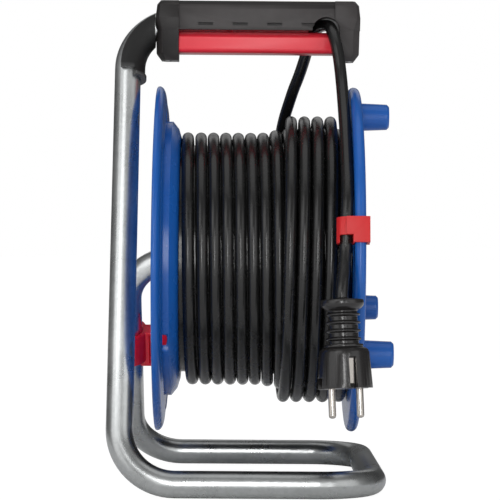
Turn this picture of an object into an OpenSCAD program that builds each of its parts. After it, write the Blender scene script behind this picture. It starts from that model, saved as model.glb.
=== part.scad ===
// Extension cord reel: a bent tube frame carries a drum with three earthed sockets in its front
// flange. The cable leaves the winding behind the handle, runs over the guide bar and ends in an
// earthed plug that hangs from a clip on the drum's rim.
// Millimetres, Z up. The origin is on the floor below the middle of the frame, X runs along the
// drum's axle towards the sockets, and the free cable hangs on the -Y side.

/* [Frame] */
// Outer diameter of the frame tube
tube_d = 18; // [17:0.5:19]
// Wall of the frame tube
tube_wall = 1.5; // [1:0.1:2.5]
// Radius of every bend, to the tube's centreline
bend_r = 37; // [34:1:40]
// Height of the tube's centreline in the handle
handle_height = 321; // [318:0.5:340]
// Height of the drum's axle
axle_height = 155; // [153:0.5:158]
// Distance between the centrelines of the two foot tubes
foot_depth = 223.2; // [216:0.1:240]
// Distance from the uprights to the crosspiece, centre to centre
foot_length = 168; // [162:1:180]
// X of the uprights' centreline
upright_x = -86; // [-88:0.5:-85]
// Length of the axle, from the uprights to its free end
axle_length = 108; // [104:1:112]
// Wall of the plastic cover on the handle's bend
cover_wall = 2.9; // [2:0.1:4]

/* [Handle] */
// Length of the grip between its end blocks
grip_length = 108.5; // [104:0.5:112]
// X of the grip's left end
grip_x = -51; // [-52:0.5:-50]
// Width of the grip, front to back
grip_width = 27; // [25:0.5:29]
// Height of the grip's top above the tube's centreline
grip_top = 13.5; // [12.5:0.5:15]
// Depth of the grip's skirt below the tube's centreline
skirt_depth = 7; // [6:0.5:8]
// Width of an end block, front to back
block_width = 32; // [30:0.5:33]
// Depth of the end blocks below the tube's centreline
block_depth = 28; // [26:0.5:30]
// Length of the left end block along the tube
left_block_length = 16; // [14:0.5:18]
// Length of the right end block along the tube
right_block_length = 17.5; // [15:0.5:18]
// Height of the guide bar
bar_height = 15.7; // [14:0.1:17]
// Width of the guide bar, front to back
bar_width = 24; // [22:0.5:26]
// Radius of the arch that the cable passes through
arch_r = 9.5; // [9.4:0.1:10]
// Distance of the arch from the right end block
arch_inset = 6.2; // [5.9:0.1:6.5]
// Length of a snap slot in the skirt
slot_length = 10.5; // [8:0.5:12]
// Number of snap slots on each side
slot_count = 4; // [2:1:4]

/* [Drum] */
// Outer diameter of the flanges
flange_d = 240; // [236:1:244]
// Outer diameter of the barrel
barrel_d = 120; // [118:0.5:122]
// Wall of the barrel
barrel_wall = 2.5; // [2:0.1:3]
// X of the rear flange's winding face
rear_face_x = -48.5; // [-48.7:0.1:-48]
// Clear width between the flanges
drum_width = 115.5; // [115.5:0.1:117]
// Wall of the flanges
flange_wall = 3; // [2.5:0.1:3.5]
// Thickness of the rear flange's rim
rear_rim = 9.5; // [8:0.5:11]
// Depth of the rear rim's outer face behind the winding face
rear_rim_depth = 17; // [15.5:0.5:18.5]
// Thickness of the front flange's rim
front_rim = 7.5; // [6.5:0.5:8.5]
// Radial height of both rims
rim_height = 16; // [14:0.5:18]
// Radius of the rear flange's flat winding face
dish_r = 84; // [82:0.5:86]
// Length of the studs on the front flange, from its plate
stud_length = 25; // [20:0.5:30]
// Diameter of a stud at its foot
stud_d = 19.6; // [17:0.1:21]
// Radius of the circle that the studs stand on
stud_circle_r = 100; // [96:0.5:101]
// Angle of the first stud and window from the top, towards the front
stud_angle = 8.5; // [0:0.5:20]
// Outer diameter of the hub bushes
bush_d = 24; // [22:0.5:26]
// Length of a hub bush
bush_length = 12; // [8:0.5:14]

/* [Sockets] */
// Inner diameter of a socket's well
well_d = 39.5; // [39.3:0.1:40]
// Depth of a socket's well
well_depth = 17.5; // [17:0.1:18]
// Distance between the two pin holes of a socket
pin_spacing = 19; // [18.8:0.1:19.2]
// Diameter of a pin hole
pin_hole_d = 5.5; // [5.2:0.1:5.8]
// Radius of the circle through the sockets' centres
socket_circle_r = 27; // [26.5:0.1:27.3]
// Diameter of the socket panel
panel_d = 116; // [114:0.5:118]
// Thickness of the socket panel
panel_wall = 3; // [2.5:0.1:3.5]
// Wall of a well
well_wall = 2; // [1.5:0.1:2]
// Diameter of the reset button
button_d = 8.8; // [7:0.1:9.5]
// Travel of the reset button
button_travel = 2; // [1.5:0.1:2.5]

/* [Cable] */
// Diameter of the cable
cable_d = 8.2; // [8:0.1:8.3]
// Pitch of the lower layer of turns
lower_pitch = 8.63; // [8.62:0.01:8.66]
// Pitch of the upper layer of turns
upper_pitch = 9.1; // [9:0.05:9.2]
// Radius of the lower layer's centreline at the rear flange
lower_layer_r = 84; // [83.8:0.1:84.5]
// Rise of the lower layer's centreline towards the front flange
lower_layer_rise = 3.1; // [3:0.1:3.2]
// Step from the lower layer's centreline to the upper one's
layer_step = 8.7; // [8.7:0.05:8.8]
// Angle along the winding at which the cable leaves it
leave_angle = 305; // [304:0.5:306]

/* [Plug] */
// Largest diameter of the plug's body
plug_d = 35.4; // [34:0.1:36.5]
// Length of the plug's body
plug_length = 26; // [24:0.5:28]
// Length of the boot between the cable and the body
boot_length = 31; // [28:0.5:34]
// Diameter of a pin
pin_d = 4.8; // [4.7:0.05:4.9]
// Length of a pin
pin_length = 19; // [18.5:0.1:19.5]
// Turn of the pins about the plug's axis
pin_turn = 16; // [0:1:30]

/* [Drum brake] */
// Wall of the brake's collar
collar_wall = 3.2; // [2.5:0.1:4]
// Height of the brake's arm along the upright
brake_height = 31; // [26:1:32]
// Thickness of the brake's arm
brake_thick = 10; // [8:0.5:11]
// Clearance between the brake's arm and the rear flange's rim
brake_clearance = 8.57; // [7:0.01:10]

/* [Hidden] */
$fn = 64;

// Clearances
running_gap = 0.06;   // bush on the axle
fit_gap = 0.1;        // moulded part on the tube
seat_gap = 0.3;       // parts of different bodies, and loose seats
screw_gap = 0.1;      // screw in its hole

// Colours
steel = "silver";
black_plastic = "dimgray";
cable_black = "black";
drum_blue = "royalblue";
signal_red = "crimson";
brass = "goldenrod";

// Frame route, corner by corner
tube_r = tube_d / 2;
foot_z = tube_r;
grip_end_x = grip_x + grip_length;
arch_x = grip_end_x - arch_inset;
tube_end_x = arch_x - arch_r - 2.5;
frame_corners = [
    [tube_end_x, 0, handle_height],
    [upright_x, 0, handle_height],
    [upright_x, -foot_depth / 2, foot_z],
    [upright_x + foot_length, -foot_depth / 2, foot_z],
    [upright_x + foot_length, foot_depth / 2, foot_z],
    [upright_x, foot_depth / 2, foot_z],
    [upright_x, 0, axle_height],
    [upright_x + axle_length, 0, axle_height]
];
axle_end_x = upright_x + axle_length;
cap_r = tube_r + fit_gap;

// Handle heights
grip_top_z = handle_height + grip_top;
skirt_z = handle_height - skirt_depth;
bar_top_z = skirt_z - 0.3;
bar_bottom_z = bar_top_z - bar_height;
block_bottom_z = handle_height - block_depth;
saddle_r = 17.7;
saddle_z = bar_top_z - saddle_r;
left_screw_x = grip_x - left_block_length / 2;
right_screw_x = grip_end_x + right_block_length / 2 + 2;
slot_pitch = 24;
slot_x = grip_x + 18.6;

// Drum sizes
flange_r = flange_d / 2;
barrel_r = barrel_d / 2;
barrel_bore_r = barrel_r - barrel_wall;
front_face_x = rear_face_x + drum_width;
plate_x = front_face_x + flange_wall;
rim_inner_r = flange_r - rim_height;
bush_r = bush_d / 2;
hub_wall = 3;
hub_r = bush_r + hub_wall;
screw_circle_r = barrel_bore_r - 3.5;
screw_boss_r = 4.5;
panel_boss_r = 3.1;
opening_r = screw_circle_r - 4;
rear_rim_x = rear_face_x - rear_rim_depth;
groove_x = rear_face_x - 10.5;
slope_width = rim_inner_r - dish_r;
cone_r = dish_r + 0.575 * slope_width;
web_r = dish_r - 1;
window_r = 0.33 * slope_width;
window_circle_r = cone_r + 0.7 * window_r;
barrel_web_x = rear_face_x + 56;
washer_wall = 1.5;
dish_rib_end = 66;
stud_angles = [for (i = [0 : 2]) stud_angle + 120 * i];
rear_screw_angles = [30, 150, 270];
front_screw_angles = [90, 210, 330];
panel_screw_angles = [30, 150, 270];

// Screws
screw_r = 1.5;
screw_length = 14;
screw_head_r = 3.3;
screw_head = 1.8;
screw_way_r = 1.8 + screw_gap;
handle_screw_length = 12;
handle_head_r = 2.9;
handle_head = 2.4;

// Socket sizes
panel_face_x = plate_x + panel_wall;
well_r = well_d / 2;
well_floor_x = panel_face_x - well_depth;
well_floor = 2.5;
well_back_x = well_floor_x - well_floor;
socket_angles = [60, 180, 300];
busbar_wall = 1.2;
sleeve_length = 17;
busbar_x = well_back_x - sleeve_length - busbar_wall;
earth_x = busbar_x + 3.8;
inner_contact_r = socket_circle_r - pin_spacing / 2;
outer_contact_r = socket_circle_r + pin_spacing / 2;
contact_r = 4;
contact_bore_r = 2.45;
clip_width = 4;
clip_wall = 1;
cable_r = cable_d / 2;
button_r = button_d / 2;
button_circle_r = 40;
button_collar_r = button_r + 1.3;
button_collar = 2;
cutout_depth = 28;
cutout_width = 14;
cutout_length = 18;
terminal_angle = 120;
terminal_width = 18;
terminal_depth = 18;
terminal_height = 18;
terminal_r = 31;
terminal_pitch = 6;
terminal_hole_r = 1.8;
room_gap = 0.1;
tail_r = terminal_r + 13;
tail_bend_r = barrel_r - tail_r;
block_back_x = plate_x - terminal_height;
clamp_length = 8;
clamp_x = block_back_x - clamp_length - 2;
clamp_seat_r = tail_r + cable_r + 0.2;
tail_x = clamp_x - tail_bend_r - 1;

// Winding
first_turn_x = rear_face_x + 4.3;
first_turn_shift = 0.45;
lower_turns = 12;
climb_turns = 0.55;
upper_start_x = 55;
leave_turns = 16 + leave_angle / 360;
rise_start_x = 5;
rise_length = 20;
dive_turns = 0.35;
dive_depth = lower_layer_r - barrel_r - cable_r - 0.4;
rings_per_turn = 24;
turn_sides = 6;
ring_count = floor(leave_turns * rings_per_turn);
core_gap = 0.2;

// Route of the free cable, from the winding over the guide bar to the plug
mains_route = [
    [20, 73.6, 216.95], [20.1, 67.7, 225.1], [20.7, 60.6, 235.5], [21.9, 53.6, 246], [24, 47.2, 256],
    [27, 41.2, 266], [30.2, 35.8, 275.8], [33.8, 30.8, 285.2], [37.4, 26, 294.3], [40.8, 21.4, 303],
    [44.6, 16.3, 311], [48.2, 8.9, 316.6], [51.6, 0, 318.5], [54.2, -8.9, 316.6], [56, -16.3, 311],
    [58, -21.2, 303.4], [59.6, -24.6, 294.6], [60.8, -28.8, 284], [61.7, -35.6, 272], [62.3, -46.8, 258.5],
    [62.7, -62.5, 243.5], [62.9, -79, 227.5], [62.8, -90.7, 216], [62.7, -99.7, 206], [62.4, -105.8, 197],
    [62.1, -109, 190], [61.8, -110.7, 184], [61.5, -112.3, 175], [61.2, -113.7, 167], [60.9, -114.8, 162],
    [60.3, -117.6, 156], [59.7, -121.3, 150], [59, -125.2, 144], [58.4, -127.8, 139], [58.1, -129.2, 135],
    [58.2, -130, 130.6]
];
cord_sides = 8;

// Plug: hangs from the end of the route, its bottom leaning to +X and away from the drum
plug_top = mains_route[len(mains_route) - 1];
plug_lean = 5.7;
plug_tilt = 2.5;
boot_z = -boot_length;
body_z = boot_z - plug_length;
plug_top_r = plug_d / 2 - 1.4;
pin_root = 8;
pin_root_r = pin_d / 2 - 0.4;
pin_neck = 0.4;
pin_tip = 1.4;
strip_length = 16;
strip_z = body_z + 3;

// Cable clip on the front flange's rim
clip_angle = 79.9;
clip_ring_r = 114;
clip_ring_x = 61.5;
clip_height = 17;
clip_leg = 2;
clip_notch = 5.2;

function unit(v) = v / norm(v);
function tangent(points, i) = unit(points[min(i + 1, len(points) - 1)] - points[max(i - 1, 0)]);

// ---------- helpers ----------

// Local z along the drum's axis, with the angle counted from the top towards the front
module on_axle(angle = 0) translate([0, 0, axle_height]) rotate([0, 90, 0]) rotate([0, 0, 180 + angle])
    children();

module on_axes(x_dir, y_dir, origin) {
    z_dir = cross(x_dir, y_dir);
    multmatrix([[x_dir[0], y_dir[0], z_dir[0], origin[0]],
                [x_dir[1], y_dir[1], z_dir[1], origin[1]],
                [x_dir[2], y_dir[2], z_dir[2], origin[2]],
                [0, 0, 0, 1]])
        children();
}

module ring_plate(outer, inner, height) difference() {
    cylinder(r = outer, h = height);
    translate([0, 0, -1]) cylinder(r = inner, h = height + 2);
}

// Section of the frame's tube, or of a plain rod when no bore is given
module tube_section(r, bore) difference() {
    circle(r);
    if (bore > 0) circle(bore);
}

// Direction of one straight of the frame
function way(i) = unit(frame_corners[i + 1] - frame_corners[i]);

// Straights and bends from the start of straight i to the end of straight stop;
// local z runs along the straight, local x is the direction of the straight after it
module route(i, stop, r, bore) {
    last = len(frame_corners) - 2;
    length = norm(frame_corners[i + 1] - frame_corners[i]) - bend_r * (i == 0 || i == last ? 1 : 2);
    linear_extrude(length) tube_section(r, bore);
    if (i < stop) translate([0, 0, length]) {
        translate([bend_r, 0, 0]) rotate([90, 0, 0]) rotate([0, 0, 90])
            rotate_extrude(angle = 90) translate([bend_r, 0]) tube_section(r, bore);
        next = i + 2 > last ? -way(i) : way(i + 2);
        roll = atan2(next * cross(way(i), way(i + 1)), -(next * way(i)));
        translate([bend_r, 0, bend_r]) rotate([0, 90, 0]) rotate([0, 0, roll]) route(i + 1, stop, r, bore);
    }
}

// The frame's route from the tube's end in the handle, as a rod or as a tube
module frame_route(stop, r, bore = 0) on_axes(way(1), cross(way(0), way(1)), frame_corners[0])
    route(0, stop, r, bore);

// The handle's end of the route only, for cutting the parts that sit on it
module handle_route(r) frame_route(1, r);

// A tube swept along points; ends are square to the route
module sweep(points, r, sides) {
    count = len(points);
    rings = [for (i = [0 : count - 1])
        let (t = tangent(points, i), s = unit(cross(t, [1, 0, 0])), u = cross(s, t))
        for (k = [0 : sides - 1]) points[i] + r * (cos(360 * k / sides) * s + sin(360 * k / sides) * u)];
    sides_faces = [for (i = [0 : count - 2]) for (k = [0 : sides - 1])
        let (a = i * sides + k, b = i * sides + (k + 1) % sides)
        each [[a, b, b + sides], [a, b + sides, a + sides]]];
    start_cap = [for (k = [1 : sides - 2]) [0, k + 1, k]];
    end_cap = [for (k = [1 : sides - 2]) let (e = (count - 1) * sides) [e, e + k, e + k + 1]];
    polyhedron(rings, concat(sides_faces, start_cap, end_cap), convexity = 10);
}

// ---------- frame ----------

module frame_tube() color(steel) frame_route(len(frame_corners) - 2, tube_r, tube_r - tube_wall);

// Wall of the bend's cover, open on the outer side of the bend by twice the given angle
module cover_section(outer, opening) difference() {
    circle(outer);
    circle(cap_r);
    polygon([[0, 0], 40 * [cos(opening), sin(opening)], [40, 0], 40 * [cos(opening), -sin(opening)]]);
}

module bend_cover() color(black_plastic) {
    cover_r = cap_r + cover_wall;
    block_end = grip_x - left_block_length - seat_gap;
    // bend: local z of its frame along the tube at the bend's start
    difference() {
        on_axes(way(1), cross(way(0), way(1)), [upright_x + bend_r, 0, handle_height]) {
            translate([bend_r, 0, 0]) rotate([90, 0, 0]) rotate([0, 0, 90])
                rotate_extrude(angle = 78) translate([bend_r, 0]) cover_section(cover_r, 68);
            // skirt on the upright, with a lip on the inner side
            translate([bend_r, 0, bend_r]) rotate([0, 90, 0]) rotate([0, 0, 180]) {
                linear_extrude(3) cover_section(cover_r, 68);
                translate([0, 0, 3]) linear_extrude(2.5) cover_section(cover_r, 118);
                translate([0, 0, 5.5]) linear_extrude(2.5) cover_section(cover_r + 1, 118);
            }
        }
        translate([block_end, -30, handle_height - 60]) cube([60, 60, 90]);
    }
}

// ---------- handle ----------

// Flat slice of an end block: the corners on its outer side are chamfered
module block_slice(z, length, inset, width, chamfer) translate([0, 0, z]) linear_extrude(0.1) polygon([
    [length, -width / 2], [length, width / 2], [inset + chamfer, width / 2], [inset, width / 2 - chamfer],
    [inset, -width / 2 + chamfer], [inset + chamfer, -width / 2]]);

// End block from its outer face, at x = 0, inwards
module end_block(length) {
    hull() {
        block_slice(grip_top_z - 0.1, length, 3.5, block_width - 11, 2);
        block_slice(grip_top_z - 3.5, length, 1, block_width - 3.5, 2);
        block_slice(handle_height + 1, length, 0, block_width, 2.5);
        block_slice(skirt_z, length, 0, block_width - 3, 4.5);
    }
    hull() {
        block_slice(skirt_z, length, 0.3, block_width - 3.5, 4.5);
        block_slice(block_bottom_z + 4.5, length, 0.6, block_width - 8, 4.5);
        block_slice(block_bottom_z, length, 4, block_width - 13, 3);
    }
}

// Room for the cable: an arch over the guide bar, rounded down over the bar's edges
module cable_tunnel() {
    intersection() {
        translate([arch_x, 40, bar_top_z]) rotate([90, 0, 0]) cylinder(r = arch_r, h = 80);
        translate([arch_x - 20, -40, bar_top_z - 0.1]) cube([40, 80, 40]);
    }
    difference() {
        translate([arch_x - arch_r, -40, saddle_z]) cube([2 * arch_r, 80, bar_top_z - saddle_z]);
        translate([arch_x - 20, 0, saddle_z]) rotate([0, 90, 0]) cylinder(r = saddle_r, h = 40);
    }
}

// Hole and counterbore of a handle screw, from below
module screw_hole(x) translate([x, 0, block_bottom_z - 1]) {
    cylinder(r = screw_r + screw_gap, h = handle_screw_length + 2);
    cylinder(r = handle_head_r + seat_gap, h = handle_head + 1.6);
}

module handle_end_left() color(black_plastic) difference() {
    translate([grip_x - left_block_length, 0, 0]) end_block(left_block_length);
    handle_route(cap_r);
    screw_hole(left_screw_x);
}

module handle_end_right() color(black_plastic) difference() {
    translate([grip_end_x + right_block_length, 0, 0]) mirror([1, 0, 0]) end_block(right_block_length);
    cable_tunnel();
    screw_hole(right_screw_x);
}

module handle_grip() color(black_plastic) difference() {
    translate([grip_x, 0, grip_top_z + skirt_z]) rotate([90, 0, 90]) mirror([0, 1, 0])
        linear_extrude(grip_length) rounded_bar(grip_width, skirt_z, grip_top_z - skirt_z, 6);
    handle_route(cap_r);
    cable_tunnel();
    for (i = [0 : slot_count - 1], side = [-1, 1])
        translate([slot_x + i * slot_pitch - slot_length / 2, side * grip_width / 2 - 3, skirt_z + 3])
            cube([slot_length, 6, 2]);
    // open underside, over the bar
    translate([grip_x - 1, -cap_r, skirt_z - 1]) cube([tube_end_x - grip_x + 2, 2 * cap_r, handle_height - skirt_z + 1]);
}

// Rectangle with its two lower corners rounded
module rounded_bar(width, bottom, height, r) {
    translate([-width / 2, bottom + r]) square([width, height - r]);
    translate([-width / 2 + r, bottom]) square([width - 2 * r, height]);
    for (side = [-1, 1]) translate([side * (width / 2 - r), bottom + r]) circle(r);
}

// Red bar under the grip: round on top, where the cable rides
module guide_bar() color(signal_red) translate([grip_x, 0, 0]) rotate([90, 0, 90]) linear_extrude(grip_length)
    difference() {
        intersection() {
            rounded_bar(bar_width, bar_bottom_z, bar_height, 3.5);
            translate([0, saddle_z]) circle(saddle_r);
        }
        translate([0, handle_height]) circle(cap_r);
    }

module handle_screws() color(steel) for (x = [left_screw_x, right_screw_x]) translate([x, 0, block_bottom_z]) {
    translate([0, 0, 0.6]) cylinder(r = handle_head_r, h = handle_head);
    cylinder(r = screw_r, h = handle_screw_length);
}

// ---------- axle ----------

module axle_end_plug() color(black_plastic) translate([axle_end_x - 16, 0, axle_height]) rotate([0, 90, 0])
    ring_plate(tube_r - tube_wall - 0.05, 2.5 + screw_gap, 16);

module retaining_washer() color(steel) translate([axle_end_x, 0, axle_height]) rotate([0, 90, 0])
    ring_plate(hub_r - 1, 2.5 + screw_gap, washer_wall);

module retaining_screw() color(steel) translate([axle_end_x, 0, axle_height]) rotate([0, 90, 0]) {
    translate([0, 0, -14]) cylinder(r = 2.5, h = 14 + washer_wall);
    translate([0, 0, washer_wall]) difference() {
        cylinder(r1 = 5.5, r2 = 4.6, h = 3.6);
        translate([0, 0, 1.8]) cylinder(r = 2.2, h = 3, $fn = 6);
    }
}

// ---------- drum ----------

// Sections of the rear flange outside its flat web, in [radius, X]: slope with groove, and rim
module slope_section() {
    f = rear_face_x;
    t = flange_wall;
    mid_r = dish_r + 0.325 * slope_width;
    back_r = dish_r + 0.175 * slope_width;
    polygon([[web_r, f], [dish_r, f], [mid_r, f - 2], [cone_r, f - 6], [cone_r, groove_x],
             [rim_inner_r + 1, groove_x], [rim_inner_r + 1, groove_x - t], [cone_r - t, groove_x - t],
             [cone_r - t, f - 8], [back_r, f - 2 - t], [web_r, f - t]]);
}

module rim_section() intersection() {
    union() {
        translate([rim_inner_r, rear_rim_x]) square([rim_height - 8, rear_rim]);
        translate([flange_r - 8, rear_rim_x + 1.5]) circle(8);
    }
    translate([0, rear_rim_x]) square([flange_r + 1, 60]);
}

module rear_rim() color(drum_blue) difference() {
    union() {
        on_axle() rotate_extrude($fn = 128) slope_section();
        on_axle() rotate_extrude($fn = 128) rim_section();
    }
    for (a = stud_angles) intersection() {
        on_axle(a) translate([window_circle_r, 0, rear_rim_x - 1]) cylinder(r = window_r, h = rear_rim_depth - 0.5);
        on_axle() translate([0, 0, rear_rim_x - 2]) cylinder(r = rim_inner_r + 0.5, h = rear_rim_depth + 4);
    }
}

// Flat web of the rear flange, with its hub and ribs
module rear_flange() color(drum_blue) difference() {
    union() {
        on_axle() translate([0, 0, rear_face_x - flange_wall]) ring_plate(web_r, bush_r, flange_wall);
        on_axle() translate([0, 0, rear_face_x - flange_wall]) ring_plate(hub_r, bush_r, bush_length + flange_wall + 3);
        for (i = [0 : 5]) on_axle(60 * i) translate([hub_r - 1, -1.2, rear_face_x - flange_wall - 3.5])
            cube([dish_rib_end - hub_r, 2.4, 4]);
    }
    for (a = rear_screw_angles) on_axle(a) translate([screw_circle_r, 0, rear_face_x - flange_wall - 1])
        cylinder(r = screw_way_r, h = flange_wall + 2);
}

// Barrel with a web and a hub for the front bush, bosses for the screws and a seat for the clamp
module drum_barrel() color(drum_blue) difference() {
    union() {
        on_axle() translate([0, 0, rear_face_x]) ring_plate(barrel_r, barrel_bore_r, drum_width);
        on_axle() translate([0, 0, barrel_web_x]) ring_plate(barrel_bore_r + 0.5, bush_r, flange_wall);
        on_axle() translate([0, 0, barrel_web_x]) ring_plate(hub_r, bush_r, axle_end_x - seat_gap - barrel_web_x);
        for (a = rear_screw_angles) on_axle(a) intersection() {
            translate([screw_circle_r, 0, rear_face_x]) cylinder(r = screw_boss_r, h = 18);
            translate([0, 0, rear_face_x]) rotate([0, 0, -a]) cylinder(r = barrel_r - 0.5, h = 18);
        }
        for (a = front_screw_angles) on_axle(a) intersection() {
            translate([screw_circle_r, 0, front_face_x - 18]) cylinder(r = screw_boss_r, h = 18);
            translate([0, 0, front_face_x - 18]) cylinder(r = barrel_r - 0.5, h = 18);
        }
        on_axle(terminal_angle) intersection() {
            translate([clamp_seat_r, -12, clamp_x]) cube([barrel_r - clamp_seat_r, 24, clamp_length]);
            translate([0, 0, clamp_x]) cylinder(r = barrel_r - 0.5, h = clamp_length);
        }
    }
    for (a = rear_screw_angles) on_axle(a) translate([screw_circle_r, 0, rear_face_x - 1])
        cylinder(r = screw_r + screw_gap, h = screw_length + 1);
    for (a = front_screw_angles) on_axle(a) translate([screw_circle_r, 0, front_face_x - screw_length])
        cylinder(r = screw_r + screw_gap, h = screw_length + 1);
    // way in for the cable
    on_axle(terminal_angle) translate([barrel_r - 8, 0, tail_x]) rotate([0, 90, 0]) cylinder(r = cable_r + 0.4, h = 12);
    // holes in the web, between its spokes
    for (i = [0 : 5]) on_axle(60 * i) translate([(hub_r + barrel_bore_r) / 2, 0, barrel_web_x - 1])
        cylinder(r = 14, h = flange_wall + 2);
}

// Section of the front flange in [radius, X]
module front_flange_section() {
    translate([opening_r, front_face_x]) square([rim_inner_r + 1 - opening_r, flange_wall]);
    translate([rim_inner_r, front_face_x]) square([rim_height - front_rim / 2, front_rim]);
    translate([flange_r - front_rim / 2, front_face_x + front_rim / 2]) circle(front_rim / 2);
}

module stud() {
    r = stud_d / 2;
    difference() {
        union() {
            cylinder(r1 = r, r2 = r - 1, h = stud_length - 1.5);
            translate([0, 0, stud_length - 1.5]) cylinder(r1 = r - 1, r2 = r - 2.5, h = 1.5);
        }
        translate([0, 0, -flange_wall - 1]) cylinder(r1 = r - 2.6, r2 = r - 3.6, h = stud_length - 1.5 + flange_wall);
    }
}

// Hollow studs that the reel lies on; each stands half on the flange's plate and half on its rim
module flange_studs() color(drum_blue) difference() {
    for (a = stud_angles) on_axle(a) translate([stud_circle_r, 0, plate_x]) stud();
    on_axle() translate([0, 0, plate_x - 1]) ring_plate(flange_r, rim_inner_r, front_rim - flange_wall + 1);
}

module front_flange() color(drum_blue) difference() {
    union() {
        on_axle() rotate_extrude($fn = 128) front_flange_section();
        on_axle() translate([0, 0, front_face_x - 4]) ring_plate(barrel_bore_r - 0.2, barrel_bore_r - 2, 4.5);
        for (a = panel_screw_angles) on_axle(a) translate([screw_circle_r, 0, front_face_x - 12])
            cylinder(r = panel_boss_r, h = 12.5);
    }
    for (a = stud_angles) on_axle(a) translate([stud_circle_r, 0, front_face_x - 1])
        cylinder(r = stud_d / 2 - 2.6, h = flange_wall + 1.6);
    for (a = panel_screw_angles) on_axle(a) translate([screw_circle_r, 0, panel_face_x - screw_length - 0.6])
        cylinder(r = screw_r + screw_gap, h = screw_length);
    for (a = front_screw_angles) on_axle(a) translate([screw_circle_r, 0, plate_x]) sunk_hole(flange_wall + 5);
    panel_rooms(front_face_x - 5, flange_wall + 6);
    at_sockets() translate([0, 0, front_face_x - 5]) cylinder(r = well_r + well_wall + 1, h = flange_wall + 6);
    // notches in the locating ring for the bosses of the barrel
    for (a = front_screw_angles) on_axle(a) translate([screw_circle_r, 0, front_face_x - 5])
        cylinder(r = screw_boss_r + 0.3, h = 5);
}

// ---------- sockets ----------

// Room for the cutout and the terminal block behind the panel
module panel_rooms(x, height) {
    on_axle() translate([button_circle_r - cutout_length / 2, -cutout_width / 2 - room_gap, x])
        cube([cutout_length + room_gap, cutout_width + 2 * room_gap, height]);
    on_axle(terminal_angle) translate([terminal_r, -terminal_width / 2 - room_gap, x])
        cube([terminal_depth + room_gap, terminal_width + 2 * room_gap, height]);
}

module at_sockets() for (a = socket_angles) on_axle(a) translate([socket_circle_r, 0, 0]) children();

// Disc with three wells; the pins of each lie on a radius, its earth clips across it
module socket_panel() color(black_plastic) difference() {
    union() {
        on_axle() translate([0, 0, plate_x]) cylinder(r1 = panel_d / 2, r2 = panel_d / 2 - 0.8, h = panel_wall);
        at_sockets() translate([0, 0, well_back_x]) cylinder(r = well_r + well_wall, h = plate_x - well_back_x + 1);
        on_axle() translate([0, 0, plate_x - 3]) ring_plate(opening_r - 0.3, opening_r - 2.3, 3.5);
    }
    at_sockets() {
        translate([0, 0, well_floor_x]) cylinder(r = well_r, h = well_depth + 1);
        for (side = [-1, 1]) {
            translate([side * pin_spacing / 2, 0, well_back_x - 1]) cylinder(r = pin_hole_d / 2, h = 5);
            // slot of an earth clip
            translate([-clip_width / 2 - 0.3, side * (well_r + 0.4) - 1, well_back_x - 1])
                cube([clip_width + 0.6, 2, well_depth + 6]);
        }
    }
    on_axle() translate([button_circle_r, 0, plate_x - 1]) cylinder(r = button_r + 0.2, h = panel_wall + 2);
    for (a = panel_screw_angles) on_axle(a) translate([screw_circle_r, 0, panel_face_x]) sunk_hole(panel_wall + 5);
    panel_rooms(plate_x - 4, 4);
}

module contact_sleeve() ring_plate(contact_r, contact_bore_r, sleeve_length);

module busbar(circle_r) {
    on_axle() translate([0, 0, busbar_x]) ring_plate(circle_r + 2.5, circle_r - 2.5, busbar_wall);
    for (a = socket_angles) on_axle(a) translate([circle_r, 0, busbar_x]) {
        translate([0, 0, busbar_wall]) contact_sleeve();
        ring_plate(contact_r, contact_bore_r, busbar_wall);
    }
}

module busbar_live() color(brass) busbar(outer_contact_r);

module busbar_neutral() color(brass) busbar(inner_contact_r);

// Three bars across the wells, joined between them
module earth_busbar() color(brass) {
    clip_y = well_r + 0.2;
    join_r = norm([socket_circle_r, clip_y]) * cos(60 - atan2(clip_y, socket_circle_r));
    for (a = socket_angles) {
        on_axle(a) translate([socket_circle_r - 2.5, -clip_y - 1, earth_x]) cube([5, 2 * clip_y + 2, busbar_wall]);
        on_axle(a + 60) translate([join_r - 2.5, -13, earth_x]) cube([5, 26, busbar_wall]);
    }
}

// Sprung strips in the walls of the wells; the tips bend inwards
module earth_clips() color(brass) at_sockets() for (side = [-1, 1]) {
    start = earth_x + busbar_wall;
    length = panel_face_x - 2 - start;
    translate([-clip_width / 2, side * (well_r + 0.4) - clip_wall / 2, start]) cube([clip_width, clip_wall, length]);
    translate([0, side * (well_r + 0.1), panel_face_x - 7]) rotate([0, 90, 0])
        cylinder(r = 1.3, h = clip_width, center = true);
}

module thermal_cutout() color("dimgray") on_axle() difference() {
    translate([button_circle_r - cutout_length / 2, -cutout_width / 2, plate_x - cutout_depth])
        cube([cutout_length, cutout_width, cutout_depth]);
    translate([button_circle_r, 0, plate_x - button_collar - button_travel - 1])
        cylinder(r = button_collar_r + 0.3, h = 10);
}

module reset_button() color(signal_red) on_axle() translate([button_circle_r, 0, plate_x - seat_gap - button_collar]) {
    cylinder(r = button_collar_r, h = button_collar);
    cylinder(r = button_r, h = button_collar + panel_wall + button_travel + 0.5);
    translate([0, 0, button_collar + panel_wall + button_travel + 0.5]) cylinder(r1 = button_r, r2 = button_r - 0.8, h = 0.8);
}

module terminal_block() color("ivory") on_axle(terminal_angle) difference() {
    translate([terminal_r, -terminal_width / 2, block_back_x])
        cube([terminal_depth, terminal_width, terminal_height]);
    translate([tail_r, 0, block_back_x - 1]) cylinder(r = cable_r + 0.1, h = 7);
    for (y = [-1 : 1]) translate([terminal_r + 3, y * terminal_pitch, block_back_x - 1])
        cylinder(r = terminal_hole_r, h = 8);
}

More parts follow.
